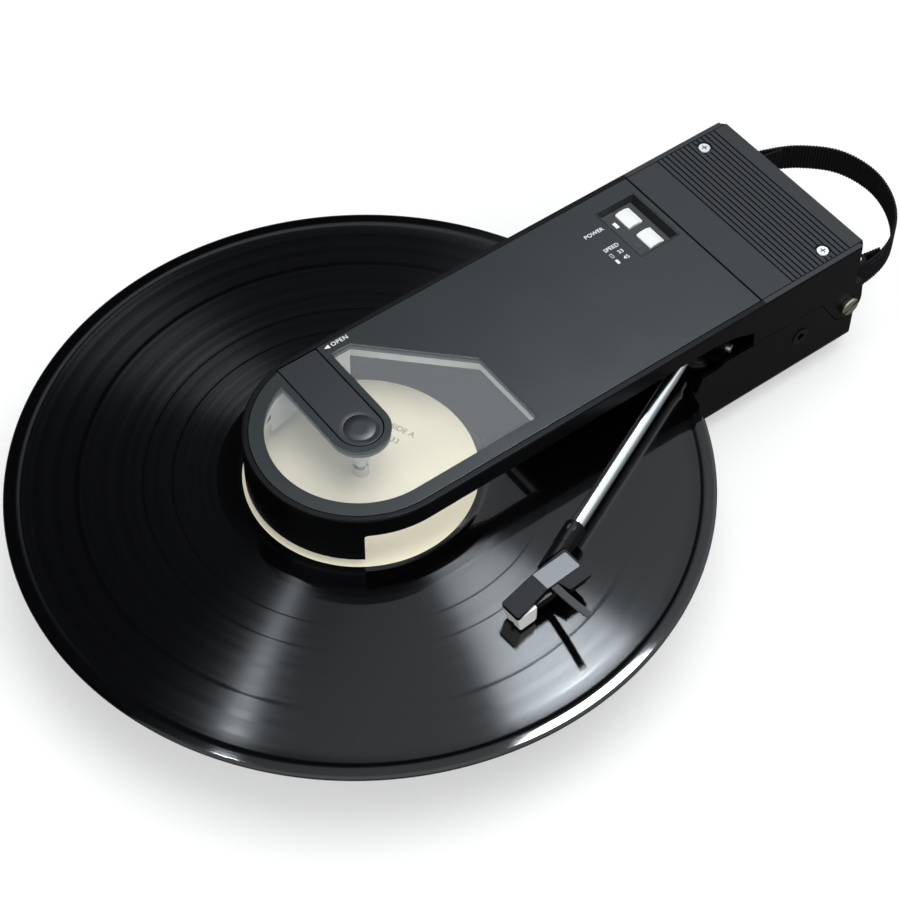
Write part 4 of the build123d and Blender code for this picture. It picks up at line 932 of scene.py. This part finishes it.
class TURNTABLE_OT_lid(bpy.types.Operator):
    """Dresses the lid: shell, panel, window, well and ribbed trim"""

    bl_idname = "turntable.lid"
    bl_label = "Lid"

    def execute(self, context):
        clad(
            "lid",
            ("lid_moulding", "lid_shell", "casing", "casing_black", 0.35),
            ("lid_panel", "top_panel", "panel", "panel_gloss", 0.18),
            ("lid_window", "window_pane", "acrylic", "window_clear", 0.15),
            ("lid_well", "window_well", "light", "liner_light", 0.2),
            ("lid_ribs", "rear_trim", "trim", "trim_grey", 0.14),
        )
        strips = []
        for side in (-1, 1):
            corners = [(181.6, 46.3), (238.6, 46.3), (238.6, 48.6), (181.6, 48.6)]
            outline = [(x, side * y) for x, y in corners][::side]
            strips.append(plate(f"trim_border_{side}", outline, 29.0, 29.12, FINISHES["trim"]))
        settle(joined("trim_border", strips), "lid", "trim_grey")
        spots = [((222.3, y, 28.0), (0.0, 0.0, 1.0)) for y in (-40.0, 40.0)]
        recess = (context.scene.turntable_screws.trim_cross / MM, 2.9, 0.8)
        trim = screws("lid_trim_screws", spots, FINISHES["screw_zinc"], (2.9, 1.2), recess, (1.4, 7.9))
        settle(trim, "lid", "bright_metal", "trim_screws")
        return {"FINISHED"}


class TURNTABLE_OT_clamp(bpy.types.Operator):
    """Dresses the flush clamp lever and its cone, and turns a touch disc for the lever"""

    bl_idname = "turntable.clamp"
    bl_label = "Clamp"

    def execute(self, context):
        clad("lever", ("clamp_strip", "clamp_lever", "lever", "lever_dark", 0.2))
        hollow = [(0, 28.94), (3.0, 28.94), (6.8, 28.94), (6.95, 28.9), (7.0, 28.7), (7.2, 28.7), (7.25, 28.92)]
        hollow += [(7.35, 28.98), (7.65, 28.98), (7.75, 28.8), (7.6, 28.2), (6.5, 27.2), (0, 26.4)]
        settle(turned("clamp_touch_disc", hollow, FINISHES["lever"], 96), "lever", "lever_dark")
        clad("clamp", ("clamp_cup", "clamp_cone", "light", "liner_light", 0.3))
        return {"FINISHED"}


class TURNTABLE_OT_switches(bpy.types.Operator):
    """Dresses the sunken tray, the two buttons and their lights"""

    bl_idname = "turntable.switches"
    bl_label = "Switches"

    def execute(self, context):
        clad("lid", ("switch_tray", "switch_bezel", "bezel", "bezel_dark", 0.2))
        for name in ("power", "speed"):
            button = dressed(f"{name}_key_cap", f"{name}_button", FINISHES["button"], 0.25, 3)
            settle(button, f"{name}_key", "button_white", f"{name}_button")
        wearing(NODES["power_light"], FINISHES["light_pipe"])
        wearing(NODES["speed_light"], FINISHES["dark_pipe"])
        return {"FINISHED"}


class TURNTABLE_OT_markings(bpy.types.Operator):
    """Prints the plain marks at the lever and the buttons"""

    bl_idname = "turntable.markings"
    bl_label = "Markings"

    def execute(self, context):
        ink, top = FINISHES["white_ink"], 29.32

        def flat(name, *corners):
            return plate(name, corners, top - PRINT_HALF, top + PRINT_HALF, ink)

        def block(name, x0, x1, y0, y1):
            return flat(name, (x0, y0), (x1, y0), (x1, y1), (x0, y1))

        marks = [flat("open_arrow", (12.7, 43.6), (15.3, 42.5), (15.3, 44.7))]
        for name, text, size, x, y, spread_out in (
            ("open_word", "OPEN", 3.1, 20.6, 43.6, 1.12),
            ("power_word", "POWER", 3.0, 147.5, 27.9, 1.0),
            ("speed_word", "SPEED", 3.0, 148.2, 16.6, 1.0),
            ("slow_number", "33", 3.0, 150.2, 12.5, 1.0),
            ("fast_number", "45", 3.0, 150.2, 8.4, 1.0),
        ):
            marks.append(lettering(name, text, size, ink, (x, y, top), spread=spread_out))
        # A filled block beside 45, and the four sides of an open one beside 33
        marks.append(block("fast_mark", 144.6, 145.9, 7.2, 9.8))
        sides = ((144.6, 144.8, 11.3, 13.9), (145.7, 145.9, 11.3, 13.9))
        sides += ((144.6, 145.9, 11.3, 11.5), (144.6, 145.9, 13.7, 13.9))
        marks += [block(f"slow_mark_{k}", *side) for k, side in enumerate(sides)]
        settle(joined("panel_print", marks), "lid", "light_white")
        return {"FINISHED"}


class TURNTABLE_OT_tonearm(bpy.types.Operator):
    """Dresses the tonearm from its pivot to the stylus"""

    bl_idname = "turntable.tonearm"
    bl_label = "Tonearm"

    def execute(self, context):
        clad(
            "swing",
            ("arm_cradle", "arm_yoke", "arm", "arm_dark", 0.25),
            ("arm_pins", "pivot_screws", "screw_zinc", "bright_metal", 0.15),
        )
        clad(
            "tonearm",
            ("arm_block", "arm_carrier", "arm", "arm_dark", 0.3),
            ("arm_pipe", "arm_tube", "tube", "arm_bright", 0.1),
            ("arm_weight", "counterweight", "arm", "arm_dark", 0.0),
            ("arm_socket", "arm_collar", "arm", "arm_dark", 0.25),
            # The steel grub screw wears near-black: painted shade of its recess
            ("arm_grub_screw", "collar_screw", "socket", "steel", 0.08),
            ("arm_head", "headshell", "arm", "arm_dark", 0.3),
            ("arm_head_plate", "headshell_plate", "inlay", "plate_grey", 0.1),
            ("arm_lift", "finger_lift", "lift", "lift_grey", 0.15),
            ("arm_pickup", "cartridge", "pickup", "cartridge_black", 0.2),
            ("arm_stylus_holder", "stylus_holder", "white", "button_white", 0.25),
        )
        return {"FINISHED"}


STRAP_WIDTH = 15.0
STRAP_THICK = 1.5
STRAP_MIDDLE = -0.7
STRAP_PIN = (247.0, 40.5)
STRAP_LOOP = 2.65


def strap_route():
    """The webbing's way in plan, seam to seam round both pins, and the two rows where it is sewn."""
    x0, reach, side, lean = STRAP_PIN[0], 46.35, STRAP_PIN[1] + STRAP_LOOP, math.radians(22.0)
    last = (x0 + STRAP_LOOP * math.sin(lean), STRAP_PIN[1] + STRAP_LOOP * math.cos(lean))
    stops = [(x0, -side), (x0 + 0.45 * reach, -0.91 * side), (x0 + 0.8 * reach, -0.61 * side)]
    stops += [(x0 + reach, -0.05 * side), (x0 + 0.91 * reach, 0.39 * side), (x0 + 0.64 * reach, 0.7 * side), last]
    stops = [Vector(stop) for stop in stops]
    spans = [(b - a).length for a, b in zip(stops, stops[1:])]
    ways = [Vector((1.0, 0.0))]
    for k in range(1, len(stops) - 1):
        before, after = (stops[k] - stops[k - 1]) / spans[k - 1], (stops[k + 1] - stops[k]) / spans[k]
        ways.append((before * spans[k] + after * spans[k - 1]) / (spans[k] + spans[k - 1]))
    ways.append(Vector((-math.cos(lean), math.sin(lean))))
    bow = []
    for k, span in enumerate(spans):
        for step in range(24):
            t = step / 24
            bow.append(
                stops[k] * (2 * t**3 - 3 * t**2 + 1)
                + ways[k] * span * (t**3 - 2 * t**2 + t)
                + stops[k + 1] * (3 * t**2 - 2 * t**3)
                + ways[k + 1] * span * (t**3 - t**2)
            )
    bow.append(stops[-1])
    middle = Vector((x0 + reach * 0.4, 0.0))

    def ring(side, first, end):
        y0 = side * STRAP_PIN[1]
        turns = [first + (end - first) * k / 20 for k in range(1, 20)]
        return [Vector((x0 + STRAP_LOOP * math.cos(a), y0 + STRAP_LOOP * math.sin(a))) for a in turns]

    def tail(side, spot):
        root = Vector((x0, side * (STRAP_PIN[1] - STRAP_LOOP)))
        end = spot + (middle - spot).normalized() * (STRAP_THICK * 0.95)
        return [root.lerp(end, k / 8) for k in range(9)]

    near_seam, far_seam = bow[16], bow[-17]
    route = tail(-1, near_seam)[::-1] + ring(-1, math.pi / 2, 3 * math.pi / 2) + bow
    route += ring(1, math.pi / 2 - lean, 3 * math.pi / 2) + tail(1, far_seam)
    rows = []
    for stretch in (bow[7:16], bow[-16:-7]):
        rows.append([tuple(spot + (spot - middle).normalized() * (STRAP_THICK / 2)) for spot in stretch])
    return [(spot.x, spot.y, STRAP_MIDDLE) for spot in route], rows[0], rows[1]


class TURNTABLE_OT_strap(bpy.types.Operator):
    """Weaves the ribbed hand strap"""

    bl_idname = "turntable.strap"
    bl_label = "Strap"

    def execute(self, context):
        sizes = context.scene.turntable_strap
        route, near, far = strap_route()
        band = grown(
            "webbing_strap",
            paths("webbing_strap", [route]),
            webbing_tree(),
            FINISHES["webbing"],
            width=STRAP_WIDTH * MM,
            thickness=STRAP_THICK * MM,
            rib_pitch=sizes.rib_pitch,
            rib_depth=sizes.rib_depth,
        )
        smooth(band, 60.0)
        settle(band, "base", "webbing_black", "hand_strap")
        rows = [[(x, y, STRAP_MIDDLE + z) for x, y in line] for line in (near, far) for z in (-5.0, 5.0)]
        seams = grown(
            "strap_stitches",
            paths("strap_stitches", rows),
            stitch_tree(),
            FINISHES["thread"],
            stitch_length=sizes.stitch_length,
            stitch_spacing=sizes.stitch_length * 1.35,
            thread_radius=0.2 * MM,
        )
        smooth(seams, 60.0)
        settle(seams, "base", "webbing_black")
        return {"FINISHED"}


class TURNTABLE_OT_inner(bpy.types.Operator):
    """Finishes the pieces that stay as they are in the frame"""

    bl_idname = "turntable.inner"
    bl_label = "Inner pieces"

    def execute(self, context):
        for finish, names in (
            ("rubber", ("drive_belt", "platter_mat")),
            ("steel", ("drive_motor", "motor_bracket", "bracket_screws", "charge_socket")),
            ("steel", ("strap_pins", "lever_pin", "lever_spring", "stylus_tip")),
            ("bronze", ("platter_bush", "motor_pulley", "arm_bush")),
            ("board", ("main_circuit", "switch_board")),
            ("sleeve", ("battery_pack",)),
            ("grey", ("platter",)),
        ):
            for name in names:
                wearing(NODES[name], FINISHES[finish])
        return {"FINISHED"}


class TURNTABLE_PT_pieces(bpy.types.Panel):
    """Lists the turntable's pieces"""

    bl_idname = "TURNTABLE_PT_pieces"
    bl_label = "Turntable"
    bl_space_type = "VIEW_3D"
    bl_region_type = "UI"
    bl_category = "Turntable"

    def draw(self, context):
        for operator in OPERATORS:
            self.layout.operator(operator.bl_idname)
        for group in GROUPS:
            sizes = getattr(context.scene, group)
            for key in sizes.bl_rna.properties.keys():
                if key not in ("rna_type", "name"):
                    self.layout.prop(sizes, key)


OPERATORS = (
    TURNTABLE_OT_stage,
    TURNTABLE_OT_casing,
    TURNTABLE_OT_disc,
    TURNTABLE_OT_lid,
    TURNTABLE_OT_clamp,
    TURNTABLE_OT_switches,
    TURNTABLE_OT_markings,
    TURNTABLE_OT_tonearm,
    TURNTABLE_OT_strap,
    TURNTABLE_OT_inner,
)
GROUPS = {
    "turntable_casing": CasingSizes,
    "turntable_disc": DiscSizes,
    "turntable_strap": StrapSizes,
    "turntable_screws": ScrewSizes,
    "turntable_stage": StageSizes,
}


def register():
    for name, group in GROUPS.items():
        bpy.utils.register_class(group)
        setattr(bpy.types.Scene, name, bpy.props.PointerProperty(type=group))
    for operator in OPERATORS:
        bpy.utils.register_class(operator)
    bpy.utils.register_class(TURNTABLE_PT_pieces)


def unregister():
    bpy.utils.unregister_class(TURNTABLE_PT_pieces)
    for operator in reversed(OPERATORS):
        bpy.utils.unregister_class(operator)
    for name, group in GROUPS.items():
        delattr(bpy.types.Scene, name)
        bpy.utils.unregister_class(group)


def main():
    register()
    stock()
    for operator in OPERATORS:
        getattr(bpy.ops.turntable, operator.bl_idname.split(".")[1])()
    bpy.context.view_layer.update()


if __name__ == "__main__":
    main()
